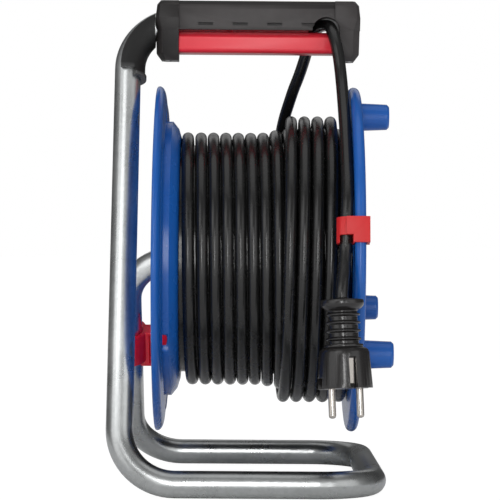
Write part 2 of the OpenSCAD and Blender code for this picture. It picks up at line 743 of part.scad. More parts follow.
// Cable inside the barrel: in through its wall, round a bend and into the terminal block
module cable_tail() color(cable_black) on_axle(terminal_angle) {
    translate([barrel_r, 0, tail_x + tail_bend_r]) rotate([90, 0, 0]) rotate([0, 0, 180])
        rotate_extrude(angle = 90) translate([tail_bend_r, 0]) circle(cable_r);
    translate([tail_r, 0, tail_x + tail_bend_r]) cylinder(r = cable_r, h = block_back_x + 6 - tail_x - tail_bend_r);
}

module cable_clamp() color(black_plastic) on_axle(terminal_angle) difference() {
    translate([tail_r - cable_r - 3, -11, clamp_x]) cube([clamp_seat_r - tail_r + cable_r + 3, 22, clamp_length]);
    translate([tail_r, 0, clamp_x - 1]) cylinder(r = cable_r + 0.05, h = clamp_length + 2);
    for (y = [-8, 8]) translate([tail_r - 10, y, clamp_x + clamp_length / 2]) rotate([0, 90, 0]) {
        cylinder(r = 1.3, h = 20);
        cylinder(r = 2.2, h = 5);
    }
}

// ---------- bushes and screws ----------

module hub_bush() ring_plate(bush_r, tube_r + running_gap, bush_length);

module hub_bush_rear() color("white") on_axle() translate([0, 0, rear_face_x]) hub_bush();

module hub_bush_front() color("white") on_axle() translate([0, 0, axle_end_x - seat_gap - bush_length]) hub_bush();

// Countersunk screw: its head's face just below z = 0, the shank going down
module sunk_screw() translate([0, 0, -screw_gap]) {
    translate([0, 0, -screw_head]) cylinder(r1 = screw_r, r2 = screw_head_r, h = screw_head);
    translate([0, 0, -screw_length]) cylinder(r = screw_r, h = screw_length);
}

// Its hole, from z = 0 down
module sunk_hole(depth) {
    translate([0, 0, -depth]) cylinder(r = screw_way_r, h = depth + 1);
    translate([0, 0, -screw_head]) cylinder(r1 = screw_way_r, r2 = screw_head_r + seat_gap, h = screw_head + 0.01);
}

module rear_flange_screws() color(steel) for (a = rear_screw_angles)
    on_axle(a) translate([screw_circle_r, 0, rear_face_x - flange_wall]) {
        translate([0, 0, -screw_head]) cylinder(r1 = screw_head_r - 0.6, r2 = screw_head_r, h = screw_head);
        cylinder(r = screw_r, h = flange_wall + screw_length - 2);
    }

module front_flange_screws() color(steel) for (a = front_screw_angles)
    on_axle(a) translate([screw_circle_r, 0, plate_x]) sunk_screw();

module panel_screws() color(steel) for (a = panel_screw_angles)
    on_axle(a) translate([screw_circle_r, 0, panel_face_x]) sunk_screw();

// ---------- cable ----------

function smooth(u) = let (v = min(1, max(0, u))) v * v * (3 - 2 * v);
function lower_r(x) = lower_layer_r + lower_layer_rise * smooth((x - rise_start_x) / rise_length);
function lower_x(t) = first_turn_x + lower_pitch * max(0, t) + first_turn_shift * smooth((t - 0.45) / 0.4);
function upper_x(t) = upper_start_x - upper_pitch * (t - lower_turns - 1);
function turn_x(t) = let (s = smooth(t - lower_turns)) (1 - s) * lower_x(t) + s * upper_x(t);
function turn_r(t) = t < 0 ? lower_layer_r - dive_depth * smooth(-t / dive_turns)
    : t < lower_turns ? lower_r(lower_x(t))
    : lower_layer_r + lower_layer_rise + layer_step * smooth((t - lower_turns) / climb_turns);
function turn_point(t) = let (r = turn_r(t)) [turn_x(t), -r * sin(360 * t), axle_height + r * cos(360 * t)];
function turn_way(t) = unit(turn_point(t + 0.001) - turn_point(t - 0.001));

turn_points = concat(
    [turn_point(-dive_turns) - cable_d * turn_way(-dive_turns)],
    [for (k = [-ceil(dive_turns * rings_per_turn) : ring_count]) turn_point(max(-dive_turns, k / rings_per_turn))],
    [turn_point(leave_turns), turn_point(leave_turns) + cable_d * turn_way(leave_turns)]);

function least_gap(points, skip) = min([for (i = [0 : len(points) - skip - 1])
    min([for (j = [i + skip : len(points) - 1]) norm(points[i] - points[j])])]) - cable_d;

// Two layers over a plain core: out to the front flange, a climb, and back to where the cable leaves
module winding_turns() color(cable_black) {
    echo(least_gap_between_turns = least_gap(turn_points, rings_per_turn / 2));
    sweep(turn_points, cable_r, turn_sides);
}

// Hidden turns as one body; a notch lets the first visible turn dive in
module winding_core() color(cable_black) difference() {
    low_r = (lower_layer_r - cable_r) * cos(180 / rings_per_turn) - core_gap;
    high_r = low_r + lower_layer_rise * cos(180 / rings_per_turn);
    on_axle() rotate_extrude($fn = 128) polygon([
        [barrel_r, rear_face_x + 0.2], [low_r, rear_face_x + 0.2], [low_r, rise_start_x + 4],
        [high_r, rise_start_x + rise_length + 4], [high_r, front_face_x - 0.2], [barrel_r, front_face_x - 0.2]]);
    on_axle(-10 - 360 * dive_turns) rotate_extrude(angle = 360 * dive_turns + 16)
        translate([barrel_r + 0.1, rear_face_x - 1]) square([lower_layer_r - barrel_r, 2 * cable_r + 1.8]);
}

module mains_cable() color(cable_black) sweep(mains_route, cable_r, cord_sides);

// Snap clip: a C round the cable, cut back at its lower front, joined to a hook over the rim
module cable_clip() color(signal_red) on_axle(clip_angle) rotate([90, 0, 0]) difference() {
    inner_r = cable_r + seat_gap;
    outer_r = inner_r + clip_leg;
    hook_r = flange_r + seat_gap;
    foot_r = stud_circle_r + stud_d / 2 + 0.8;
    hook_x = front_face_x + front_rim + seat_gap;
    translate([0, 0, -clip_height / 2]) linear_extrude(clip_height) {
        difference() {
            translate([clip_ring_r, clip_ring_x]) circle(outer_r);
            translate([clip_ring_r, clip_ring_x]) circle(inner_r);
            translate([clip_ring_r - outer_r - 1, clip_ring_x - outer_r]) square([outer_r - 2, outer_r]);
            translate([clip_ring_r - 8, front_face_x - seat_gap]) square([16, 8]);
        }
        difference() {
            translate([hook_r, clip_ring_x]) square([clip_leg, hook_x + clip_leg - clip_ring_x]);
            translate([clip_ring_r, clip_ring_x]) circle(inner_r);
        }
        translate([foot_r, hook_x]) square([hook_r + clip_leg - foot_r, clip_leg]);
    }
    translate([clip_ring_r, clip_ring_x - inner_r, -clip_height / 2 - 1])
        cube([hook_r + clip_leg + 1 - clip_ring_r, 2 * inner_r, clip_notch + 1]);
}

// ---------- plug ----------

// Local z up along the plug's axis from the boot's top
module on_plug() translate(plug_top) rotate([-plug_lean, -plug_tilt, 0]) children();

// Ribbed boot with a finger flange at its top
module plug_boot() color(black_plastic) on_plug() {
    translate([0, 0, -2.6]) cylinder(r1 = 14, r2 = 13.2, h = 2.6);
    translate([0, 0, -5.5]) cylinder(r1 = 10.4, r2 = 14, h = 2.9);
    translate([0, 0, boot_z]) cylinder(r1 = 10.5, r2 = 9.4, h = boot_length - 5.5);
    for (i = [0 : 4]) translate([0, 0, boot_z + 4.2 + 4.4 * i]) {
        cylinder(r1 = 9.8, r2 = 11.2, h = 0.8);
        translate([0, 0, 0.8]) cylinder(r = 11.2, h = 0.9);
        translate([0, 0, 1.7]) cylinder(r1 = 11.2, r2 = 9.8, h = 0.8);
    }
    translate([0, 0, boot_z]) cylinder(r1 = 12.6, r2 = 12.4, h = 2.4);
}

// Body flares towards the pins, with grooves for the earth strips and flat guides at the sides
module plug_body() color(black_plastic) on_plug() difference() {
    union() {
        translate([0, 0, boot_z - 1.4]) cylinder(r1 = plug_top_r - 0.7, r2 = plug_top_r - 2.5, h = 1.4);
        translate([0, 0, boot_z - 3]) cylinder(r1 = plug_top_r, r2 = plug_top_r - 0.7, h = 1.6);
        translate([0, 0, body_z]) cylinder(r1 = plug_d / 2, r2 = plug_top_r, h = plug_length - 3);
    }
    rotate([0, 0, pin_turn]) {
        for (side = [-1, 1]) {
            // earth strip groove
            translate([-2.4, side * (plug_d / 2 - 1.8) - 4, body_z - 1]) cube([4.8, 8, strip_z - body_z + strip_length + 1.8]);
            // flat guide
            translate([side * (plug_d / 2 - 0.6) - 4, -4.4, body_z - 1]) cube([8, 8.8, 8]);
            // root of a pin
            translate([side * pin_spacing / 2, 0, body_z - 1]) cylinder(r = pin_root_r, h = pin_root + 1);
        }
    }
}

module plug_pins() color(steel) on_plug() rotate([0, 0, pin_turn]) for (side = [-1, 1])
    translate([side * pin_spacing / 2, 0, body_z - pin_length]) {
        cylinder(r1 = pin_d / 2 - 1.2, r2 = pin_d / 2, h = pin_tip);
        translate([0, 0, pin_tip]) cylinder(r = pin_d / 2, h = pin_length - pin_tip - pin_neck);
        translate([0, 0, pin_length - pin_neck - 1]) cylinder(r = pin_root_r, h = pin_neck + 1 + pin_root);
    }

module plug_earth_strips() color(steel) on_plug() rotate([0, 0, pin_turn]) for (side = [-1, 1])
    translate([-1.7, side * (plug_d / 2 - 4.9) - 0.6, strip_z]) cube([3.4, 1.2, strip_length]);

// ---------- brake ----------

// Red lever clipped round the rear upright; its nose reaches into the rear flange's dish
module drum_brake() color(signal_red) {
    way = unit([0, -foot_depth / 2, axle_height - foot_z]);
    brake_r = rim_inner_r - brake_clearance - brake_height / 2;
    collar_r = cap_r + collar_wall;
    arm_end = rear_rim_x - 1 - upright_x;
    nose_end = rear_face_x - flange_wall - 4.2 - upright_x;
    collar_start = 5.5 - brake_height / 2;
    on_axes([1, 0, 0], cross(way, [1, 0, 0]), [upright_x, 0, axle_height] - brake_r * way) difference() {
        union() {
            translate([0, 0, collar_start]) cylinder(r = collar_r, h = brake_height / 2 - collar_start);
            translate([0, -brake_thick / 2, -brake_height / 2]) cube([arm_end, brake_thick, brake_height]);
            translate([0, -brake_thick / 2 + 1, 2]) cube([nose_end, brake_thick - 2, 13]);
        }
        translate([0, 0, -brake_height]) cylinder(r = tube_r + running_gap, h = 2 * brake_height);
        // mouth of the collar
        translate([-collar_r - 1, -5, -brake_height]) cube([collar_r, 10, 2 * brake_height]);
        // pocket in the arm
        translate([collar_r + 1.5, -brake_thick, -brake_height / 2 + 2.5])
            cube([arm_end - collar_r - 3.5, brake_thick + 2.5, brake_height - 5]);
    }
}

frame_tube();
bend_cover();
handle_grip();
handle_end_left();
handle_end_right();
guide_bar();
handle_screws();
axle_end_plug();
retaining_washer();
retaining_screw();
rear_flange();
rear_rim();
drum_barrel();
front_flange();
flange_studs();
socket_panel();
busbar_live();
busbar_neutral();
earth_busbar();
earth_clips();
thermal_cutout();
reset_button();
terminal_block();
cable_clamp();
cable_tail();
hub_bush_rear();
hub_bush_front();
rear_flange_screws();
front_flange_screws();
panel_screws();
winding_core();
winding_turns();
mains_cable();
cable_clip();
plug_boot();
plug_body();
plug_pins();
plug_earth_strips();
drum_brake();
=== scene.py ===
"""Extension cord reel: finishes and fine surfaces over the exact frame.

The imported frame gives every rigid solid. This file dresses them, and works out the surfaces that
need more than solids give: the wound and the free cable, the boot and pins of the plug, the rear
rim with its windows, and the rounded mouldings of the handle, the guide bar, the brake, the clip,
the plug and the drum. Sizes are in millimetres until a mesh is written, the floor is z = 0, and
the drum turns about X.
"""

from __future__ import annotations

import logging
import math
from dataclasses import dataclass
from enum import Enum
from typing import Callable, Sequence

import bmesh
import bpy
import numpy as np
from mathutils import Matrix

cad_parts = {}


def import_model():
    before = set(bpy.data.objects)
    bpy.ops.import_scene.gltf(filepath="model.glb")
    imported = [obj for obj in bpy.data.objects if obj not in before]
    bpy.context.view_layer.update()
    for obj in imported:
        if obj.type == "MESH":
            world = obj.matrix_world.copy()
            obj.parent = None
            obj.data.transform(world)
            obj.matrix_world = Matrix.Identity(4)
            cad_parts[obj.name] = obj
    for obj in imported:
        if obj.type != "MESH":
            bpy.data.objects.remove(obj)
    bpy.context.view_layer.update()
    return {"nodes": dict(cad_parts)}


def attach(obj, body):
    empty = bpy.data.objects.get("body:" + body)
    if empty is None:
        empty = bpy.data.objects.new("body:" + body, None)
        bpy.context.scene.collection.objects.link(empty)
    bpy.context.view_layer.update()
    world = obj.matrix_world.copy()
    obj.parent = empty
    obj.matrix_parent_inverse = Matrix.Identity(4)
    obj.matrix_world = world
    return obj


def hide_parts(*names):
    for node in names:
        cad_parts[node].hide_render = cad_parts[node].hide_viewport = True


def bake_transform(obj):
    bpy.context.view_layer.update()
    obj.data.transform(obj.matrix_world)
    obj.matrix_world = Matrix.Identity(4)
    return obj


LOG = logging.getLogger("cord_reel")
MM = 0.001
AXLE_HEIGHT = 155.0

# Meshes: gaps in metres, angles in degrees.
DOUBLE_GAP = 1e-6
SOLID_GAP = 2e-6
SLIVER = 1e-7
FLAT_ANGLE = 0.6
ROUNDED_ANGLE = 28.0
ROUND_SEGMENTS = 3

Array = np.ndarray
Place = tuple[float, float, float]
Outline = tuple[tuple[float, float], ...]


# ---------------------------- mesh making


def write_mesh(name: str, points: Array, faces: Array, uv: Array | None = None) -> bpy.types.Object:
    """Makes an object at the origin from points in millimetres and quads or triangles.

    Args:
        name: name of the piece.
        points: (n, 3) points in millimetres.
        faces: (m, 3) or (m, 4) indices of the points.
        uv: (m, k, 2) place of every face corner on the surface, if a pattern follows it.

    Returns:
        The new object, smooth shaded and linked to the scene.
    """
    mesh = bpy.data.meshes.new(name)
    count, corners = faces.shape
    mesh.vertices.add(len(points))
    mesh.vertices.foreach_set("co", (points * MM).astype(np.float32).ravel())
    mesh.loops.add(count * corners)
    mesh.loops.foreach_set("vertex_index", faces.astype(np.int32).ravel())
    mesh.polygons.add(count)
    mesh.polygons.foreach_set("loop_start", np.arange(0, count * corners, corners, dtype=np.int32))
    mesh.polygons.foreach_set("use_smooth", np.ones(count, dtype=bool))
    if uv is not None:
        mesh.uv_layers.new(name="surface").data.foreach_set("uv", uv.astype(np.float32).ravel())
    mesh.update(calc_edges=True)
    mesh.validate()
    piece = bpy.data.objects.new(name, mesh)
    bpy.context.scene.collection.objects.link(piece)
    return piece


def grid_faces(rows: int, columns: int, closed: bool) -> Array:
    """Quads of a grid of rows times columns points, outward for a right-handed grid.

    Args:
        rows: number of points along the first parameter.
        columns: number of points along the second parameter.
        closed: whether the last column joins the first.

    Returns:
        (m, 4) indices.
    """
    last = columns if closed else columns - 1
    i, j = np.meshgrid(np.arange(rows - 1), np.arange(last), indexing="ij")
    k = (j + 1) % columns
    return np.stack([i * columns + j, i * columns + k, (i + 1) * columns + k, (i + 1) * columns + j],
                    axis=-1).reshape(-1, 4)


def grid_uv(rows: int, columns: int) -> Array:
    """Places of the corners of a closed grid's faces: u runs round the columns, v along the rows.

    Args:
        rows: number of points along the first parameter.
        columns: number of points round the second.

    Returns:
        (m, 4, 2) places.
    """
    i, j = np.meshgrid(np.arange(rows - 1), np.arange(columns), indexing="ij")
    u = np.stack([j, j + 1, j + 1, j], axis=-1) / columns
    v = np.stack([i, i, i + 1, i + 1], axis=-1) / (rows - 1)
    return np.stack([u, v], axis=-1).reshape(-1, 4, 2)


def unit(v: Array) -> Array:
    """Vectors of length one along the last axis."""
    return v / np.linalg.norm(v, axis=-1, keepdims=True)


def smooth_route(points: Array, step: float, fineness: int = 24) -> Array:
    """Carries a smooth curve through the points of a route.

    Between neighbours P1 and P2 the curve is the cubic with ends P1 and P2 and slopes
    (P2 - P0) / 2 and (P3 - P1) / 2, and it is then sampled at even steps of its length.

    Args:
        points: (n, 3) points of the route.
        step: distance between samples.
        fineness: points of each cubic from which its length is measured.

    Returns:
        (m, 3) samples.
    """
    p = np.vstack([2 * points[0] - points[1], points, 2 * points[-1] - points[-2]])
    t = np.linspace(0, 1, fineness, endpoint=False)[None, :, None]
    a, b, c, d = (p[k:len(p) - 3 + k][:, None, :] for k in range(4))
    curve = 0.5 * (2 * b + (c - a) * t + (2 * a - 5 * b + 4 * c - d) * t**2
                   + (3 * b - a - 3 * c + d) * t**3)
    curve = np.vstack([curve.reshape(-1, 3), points[-1]])
    run = np.concatenate([[0], np.cumsum(np.linalg.norm(np.diff(curve, axis=0), axis=1))])
    even = np.linspace(0, run[-1], max(2, int(run[-1] / step)))
    return np.stack([np.interp(even, run, curve[:, k]) for k in range(3)], axis=-1)


def round_cable(name: str, route: Array, radius: float, sides: int) -> bpy.types.Object:
    """A closed round cable along a route.

    At each point with tangent T the ring is P + r (cos a S + sin a N), with S = T x X made
    unit length and N = S x T. Both ends close in a shallow fan.

    Args:
        name: name of the piece.
        route: (n, 3) points of the centreline.
        radius: radius of the cable.
        sides: number of points round it.

    Returns:
        The cable as one object, with u round it and v along it.
    """
    way = unit(np.gradient(route, axis=0))
    side = unit(np.cross(way, [1.0, 0.0, 0.0]))
    up = np.cross(side, way)
    a = np.linspace(0, 2 * np.pi, sides, endpoint=False)
    ring = np.cos(a)[None, :, None] * side[:, None, :] + np.sin(a)[None, :, None] * up[:, None, :]
    body = (route[:, None, :] + radius * ring).reshape(-1, 3)
    rows = len(route)
    points = np.vstack([body, route[0], route[-1]])
    faces = grid_faces(rows, sides, True)
    uv = grid_uv(rows, sides)
    k = np.arange(sides)
    last = (rows - 1) * sides
    start = np.stack([np.full(sides, rows * sides), (k + 1) % sides, k], axis=-1)
    end = np.stack([np.full(sides, rows * sides + 1), last + k, last + (k + 1) % sides], axis=-1)
    piece = write_mesh(name, points, faces, uv)
    close_ends(piece, [start, end])
    return piece


def close_ends(piece: bpy.types.Object, fans: Sequence[Array]) -> None:
    """Adds triangles to a piece's mesh.

    Args:
        piece: the object whose mesh gets them.
        fans: arrays of (m, 3) vertex indices.
    """
    work = bmesh.new()
    work.from_mesh(piece.data)
    work.verts.ensure_lookup_table()
    for fan in fans:
        for tri in fan.tolist():
            face = work.faces.new([work.verts[i] for i in tri])
            face.smooth = True
    work.normal_update()
    work.to_mesh(piece.data)
    work.free()


def turned(name: str, profile: Array, sides: int, place: Callable[[Array], Array]) -> bpy.types.Object:
    """A turned surface: each profile point (r, h) goes round the local z axis.

    The point at angle a is (r cos a, r sin a, h). The profile runs upwards on the outside, so
    that faces point outwards, and starts and ends on the axis to close the piece.

    Args:
        name: name of the piece.
        profile: (n, 2) radii and heights.
        sides: number of points round the axis.
        place: carries local points to the reel's frame.

    Returns:
        The turned piece.
    """
    a = np.linspace(0, 2 * np.pi, sides, endpoint=False)
    r, h = profile[:, :1], profile[:, 1:]
    grid = np.stack([r * np.cos(a), r * np.sin(a), np.broadcast_to(h, (len(profile), sides))], axis=-1)
    piece = write_mesh(name, place(grid.reshape(-1, 3)), grid_faces(len(profile), sides, True))
    merge_doubles(piece)
    return piece


def merge_doubles(piece: bpy.types.Object) -> None:
    """Merges the points of a piece that lie on each other and turns its faces outwards.

    Args:
        piece: the closed piece.
    """
    work = bmesh.new()
    work.from_mesh(piece.data)
    bmesh.ops.remove_doubles(work, verts=work.verts, dist=DOUBLE_GAP)
    bmesh.ops.dissolve_degenerate(work, edges=work.edges, dist=SLIVER)
    bmesh.ops.recalc_face_normals(work, faces=work.faces)
    work.to_mesh(piece.data)
    work.free()


def round_edges(piece: bpy.types.Object, radius: float, angle: float) -> None:
    """Puts a live round on every edge that is sharper than an angle.

    Args:
        piece: the piece.
        radius: radius of the rounds, in millimetres.
        angle: smallest turn across an edge that is rounded, in degrees.
    """
    bevel = piece.modifiers.new("rounds", "BEVEL")
    bevel.width = radius * MM
    bevel.segments = ROUND_SEGMENTS
    bevel.limit_method = "ANGLE"
    bevel.angle_limit = math.radians(angle)
    bevel.harden_normals = True
    bevel.use_clamp_overlap = True


def softened(node: bpy.types.Object, name: str, radius: float) -> bpy.types.Object:
    """A moulding with rounded edges in the place of a sharp-edged solid.

    The solid's mesh is copied, its doubles are merged and its flat triangles joined, and its
    sharp edges get a round of the given radius.

    Args:
        node: the solid.
        name: name of the new piece.
        radius: radius of the rounds, in millimetres.

    Returns:
        The new piece.
    """
    mesh = node.data.copy()
    mesh.name = name
    piece = bpy.data.objects.new(name, mesh)
    bpy.context.scene.collection.objects.link(piece)
    work = bmesh.new()
    work.from_mesh(mesh)
    bmesh.ops.remove_doubles(work, verts=work.verts, dist=SOLID_GAP)
    bmesh.ops.dissolve_limit(work, angle_limit=math.radians(FLAT_ANGLE), verts=work.verts, edges=work.edges)
    for face in work.faces:
        face.smooth = True
    work.to_mesh(mesh)
    work.free()
    round_edges(piece, radius, ROUNDED_ANGLE)
    return piece


def cut(piece: bpy.types.Object, tool: bpy.types.Object) -> None:
    """Takes a tool's volume out of a piece and deletes the tool.

    Args:
        piece: the piece, which keeps its name and gets a new mesh.
        tool: a closed solid.
    """
    change = piece.modifiers.new("cut", "BOOLEAN")
    change.operation = "DIFFERENCE"
    change.solver = "EXACT"
    change.object = tool
    view = bpy.context.evaluated_depsgraph_get()
    mesh = bpy.data.meshes.new_from_object(piece.evaluated_get(view))
    piece.modifiers.remove(change)
    piece.data = mesh
    bpy.data.objects.remove(tool)


# ---------------------------- shader groups


class Groups:
    """Shared effects, each built once as a node group with named inputs and outputs."""

    outputs = {"Color": "NodeSocketColor", "Roughness": "NodeSocketFloat", "Height": "NodeSocketFloat"}

    @classmethod
    def _new(cls, name: str, inputs: dict[str, float | tuple]) -> bpy.types.NodeTree:
        """Starts a group with its sockets.

        Args:
            name: name of the group.
            inputs: names and first values of the inputs; a tuple of four makes a colour.

        Returns:
            The group, with its input and output nodes in place.
        """
        tree = bpy.data.node_groups.new(name, "ShaderNodeTree")
        for label, value in inputs.items():
            kind = "NodeSocketColor" if isinstance(value, tuple) else "NodeSocketFloat"
            tree.interface.new_socket(name=label, in_out="INPUT", socket_type=kind).default_value = value
        for label, kind in cls.outputs.items():
            tree.interface.new_socket(name=label, in_out="OUTPUT", socket_type=kind)
        tree.nodes.new("NodeGroupInput").name = "in"
        tree.nodes.new("NodeGroupOutput").name = "out"
        return tree

    @classmethod
    def moulded(cls) -> bpy.types.NodeTree:
        """Moulded plastic: slow tone changes, fine spark grain, and paler rubbed edges.

        Returns:
            The group, with colour, roughness and height.
        """
        if "moulded skin" in bpy.data.node_groups:
            return bpy.data.node_groups["moulded skin"]
        tree = cls._new("moulded skin",
                        {"Color": (0.5, 0.5, 0.5, 1.0), "Edge": (0.6, 0.6, 0.6, 1.0), "Roughness": 0.4,
                         "Grain": 1800.0, "Tone": 0.12, "Wear": 0.25})
        n = Wiring(tree)
        place = n.add("ShaderNodeTexCoord")
        slow = n.add("ShaderNodeTexNoise", {"Scale": 26.0, "Detail": 3.0, "Roughness": 0.6})
        fine = n.add("ShaderNodeTexNoise", {"Detail": 2.0, "Roughness": 0.7})
        n.join(place, "Object", slow, "Vector")
        n.join(place, "Object", fine, "Vector")
        n.join("in", "Grain", fine, "Scale")
        tone = n.math("MULTIPLY_ADD", n.out(slow, 0), n.out("in", "Tone"), 0.5)
        spread = n.math("SUBTRACT", tone, n.math("MULTIPLY", n.out("in", "Tone"), 0.5))
        shade = n.math("MULTIPLY", spread, 2.0)
        dark = n.add("ShaderNodeMix", data_type="RGBA", blend_type="MULTIPLY")
        dark.inputs[0].default_value = 1.0
        n.link(n.out("in", "Color"), dark.inputs[6])
        n.link(shade, dark.inputs[7])
        edge = n.add("ShaderNodeNewGeometry")
        rub = n.add("ShaderNodeMapRange", {"From Min": 0.53, "From Max": 0.62})
        n.join(edge, "Pointiness", rub, "Value")
        rubbed = n.math("MULTIPLY", n.out(rub, 0), n.math("MULTIPLY", n.out("in", "Wear"), n.out(slow, 0)))
        wear_and_floor_shade = n.add("ShaderNodeMix", data_type="RGBA")
        n.link(rubbed, wear_and_floor_shade.inputs[0])
        n.link(dark.outputs[2], wear_and_floor_shade.inputs[6])
        n.link(n.out("in", "Edge"), wear_and_floor_shade.inputs[7])
        n.link(wear_and_floor_shade.outputs[2], n.into("out", "Color"))
        smoothest = n.math("SUBTRACT", n.out("in", "Roughness"), 0.06)
        rough = n.math("MULTIPLY_ADD", n.out(slow, 0), 0.12, smoothest)
        n.link(rough, n.into("out", "Roughness"))
        n.link(n.out(fine, 0), n.into("out", "Height"))
        return tree

    @classmethod
    def zinc(cls) -> bpy.types.NodeTree:
        """Bright zinc plate: faint spangle and a few grey clouds, with painted shade that darkens it towards
        the floor.

        Returns:
            The group, with colour, roughness and height.
        """
        if "zinc plate" in bpy.data.node_groups:
            return bpy.data.node_groups["zinc plate"]
        tree = cls._new("zinc plate",
                        {"Light": (0.8, 0.8, 0.8, 1.0), "Dark": (0.5, 0.5, 0.5, 1.0), "Roughness": 0.3,
                         "Spangle": 420.0, "Floor shade": 1.0})
        n = Wiring(tree)
        place = n.add("ShaderNodeTexCoord")
        cloud = n.add("ShaderNodeTexNoise", {"Scale": 38.0, "Detail": 4.0, "Roughness": 0.62})
        cells = n.add("ShaderNodeTexVoronoi")
        speck = n.add("ShaderNodeTexNoise", {"Scale": 900.0, "Detail": 2.0})
        for texture in (cloud, cells, speck):
            n.join(place, "Object", texture, "Vector")
        n.join("in", "Spangle", cells, "Scale")
        clouds = n.math("MULTIPLY", n.out(cloud, 0), 0.85)
        mixed = n.math("MULTIPLY_ADD", n.out(cells, "Color"), 0.30, clouds)
        ramp = n.add("ShaderNodeMapRange", {"From Min": 0.32, "From Max": 0.78})
        n.link(mixed, ramp.inputs["Value"])
        colour = n.add("ShaderNodeMix", data_type="RGBA")
        n.link(n.out(ramp, 0), colour.inputs[0])
        n.link(n.out("in", "Dark"), colour.inputs[6])
        n.link(n.out("in", "Light"), colour.inputs[7])
        # Painted shade: below 0.10 m the colour is multiplied down, reaching the floor-shade factor at 0.03 m
        # and lower.
        height_of = n.add("ShaderNodeSeparateXYZ")
        n.join(place, "Object", height_of, "Vector")
        wear_and_floor_shade = n.add("ShaderNodeMapRange", {"From Min": 0.03, "From Max": 0.10})
        n.join(height_of, "Z", wear_and_floor_shade, "Value")
        n.join("in", "Floor shade", wear_and_floor_shade, "To Min")
        floor_shaded = n.add("ShaderNodeMix", {0: 1.0}, data_type="RGBA", blend_type="MULTIPLY")
        n.link(colour.outputs[2], floor_shaded.inputs[6])
        n.link(n.out(wear_and_floor_shade, 0), floor_shaded.inputs[7])
        n.link(floor_shaded.outputs[2], n.into("out", "Color"))
        smoothest = n.math("SUBTRACT", n.out("in", "Roughness"), 0.11)
        rough = n.math("MULTIPLY_ADD", n.out(cloud, 0), 0.22, smoothest)
        n.link(rough, n.into("out", "Roughness"))
        height = n.math("ADD", n.out(cloud, 0), n.math("MULTIPLY", n.out(speck, 0), 0.35))
        n.link(height, n.into("out", "Height"))
        return tree

    @classmethod
    def jacket(cls) -> bpy.types.NodeTree:
        """Cable jacket: faint lengthwise drawing marks, dust in patches, a soft sheen change.

        Returns:
            The group, with colour, roughness and height.
        """
        if "cable jacket" in bpy.data.node_groups:
            return bpy.data.node_groups["cable jacket"]
        tree = cls._new("cable jacket",
                        {"Color": (0.02, 0.02, 0.02, 1.0), "Dust": (0.1, 0.1, 0.1, 1.0), "Roughness": 0.35,
                         "Dusty": 0.3})
        n = Wiring(tree)
        surface = n.add("ShaderNodeUVMap")
        stretch = n.add("ShaderNodeMapping")
        stretch.inputs["Scale"].default_value = (26.0, 60.0, 1.0)
        n.join(surface, "UV", stretch, "Vector")
        lines = n.add("ShaderNodeTexNoise", {"Scale": 1.0, "Detail": 2.0})
        n.join(stretch, "Vector", lines, "Vector")
        place = n.add("ShaderNodeTexCoord")
        patch = n.add("ShaderNodeTexNoise", {"Scale": 55.0, "Detail": 4.0, "Roughness": 0.65})
        n.join(place, "Object", patch, "Vector")
        dusty = n.add("ShaderNodeMapRange", {"From Min": 0.48, "From Max": 0.75})
        n.join(patch, 0, dusty, "Value")
        amount = n.math("MULTIPLY", n.out(dusty, 0), n.out("in", "Dusty"))
        colour = n.add("ShaderNodeMix", data_type="RGBA")
        n.link(amount, colour.inputs[0])
        n.link(n.out("in", "Color"), colour.inputs[6])
        n.link(n.out("in", "Dust"), colour.inputs[7])
        n.link(colour.outputs[2], n.into("out", "Color"))
        rough = n.math("ADD", n.out("in", "Roughness"), n.math("MULTIPLY", n.out(dusty, 0), 0.12))
        n.link(rough, n.into("out", "Roughness"))
        n.link(n.out(lines, 0), n.into("out", "Height"))
        return tree


class Wiring:
    """Short words for adding and joining shader nodes in one tree."""

    def __init__(self, tree: bpy.types.NodeTree) -> None:
        """Keeps the tree."""
        self.tree = tree

    def add(self, kind: str, values: dict[str | int, float] | None = None,
            **settings: object) -> bpy.types.Node:
        """Adds a node.

        Args:
            kind: Blender's name of the node's type.
            values: first values of inputs, by name or number.
            **settings: properties of the node.

        Returns:
            The node.
        """
        node = self.tree.nodes.new(kind)
        for label, value in settings.items():
            setattr(node, label, value)
        for label, value in (values or {}).items():
            node.inputs[label].default_value = value
        return node

    def _node(self, node: bpy.types.Node | str) -> bpy.types.Node:
        """The node itself, or the one of that name."""
        return self.tree.nodes[node] if isinstance(node, str) else node

    def out(self, node: bpy.types.Node | str, label: str | int) -> bpy.types.NodeSocket:
        """An output of a node."""
        return self._node(node).outputs[label]

    def into(self, node: bpy.types.Node | str, label: str | int) -> bpy.types.NodeSocket:
        """An input of a node."""
        return self._node(node).inputs[label]

    def link(self, source: bpy.types.NodeSocket, target: bpy.types.NodeSocket) -> None:
        """Joins two sockets."""
        self.tree.links.new(source, target)

    def join(self, a: bpy.types.Node | str, output: str | int, b: bpy.types.Node | str,
             entry: str | int) -> None:
        """Joins an output of one node to an input of another."""
        self.link(self.out(a, output), self.into(b, entry))

    def math(self, operation: str, *terms: bpy.types.NodeSocket | float) -> bpy.types.NodeSocket:
        """The result of an operation on terms, each a socket or a number.

        Args:
            operation: Blender's name of the operation.
            *terms: the operation's terms, in order.

        Returns:
            The result's socket.
        """
        node = self.add("ShaderNodeMath", operation=operation)
        for entry, term in zip(node.inputs, terms):
            if isinstance(term, (int, float)):
                entry.default_value = term
            else:
                self.link(term, entry)
        return node.outputs[0]


# ---------------------------- finishes


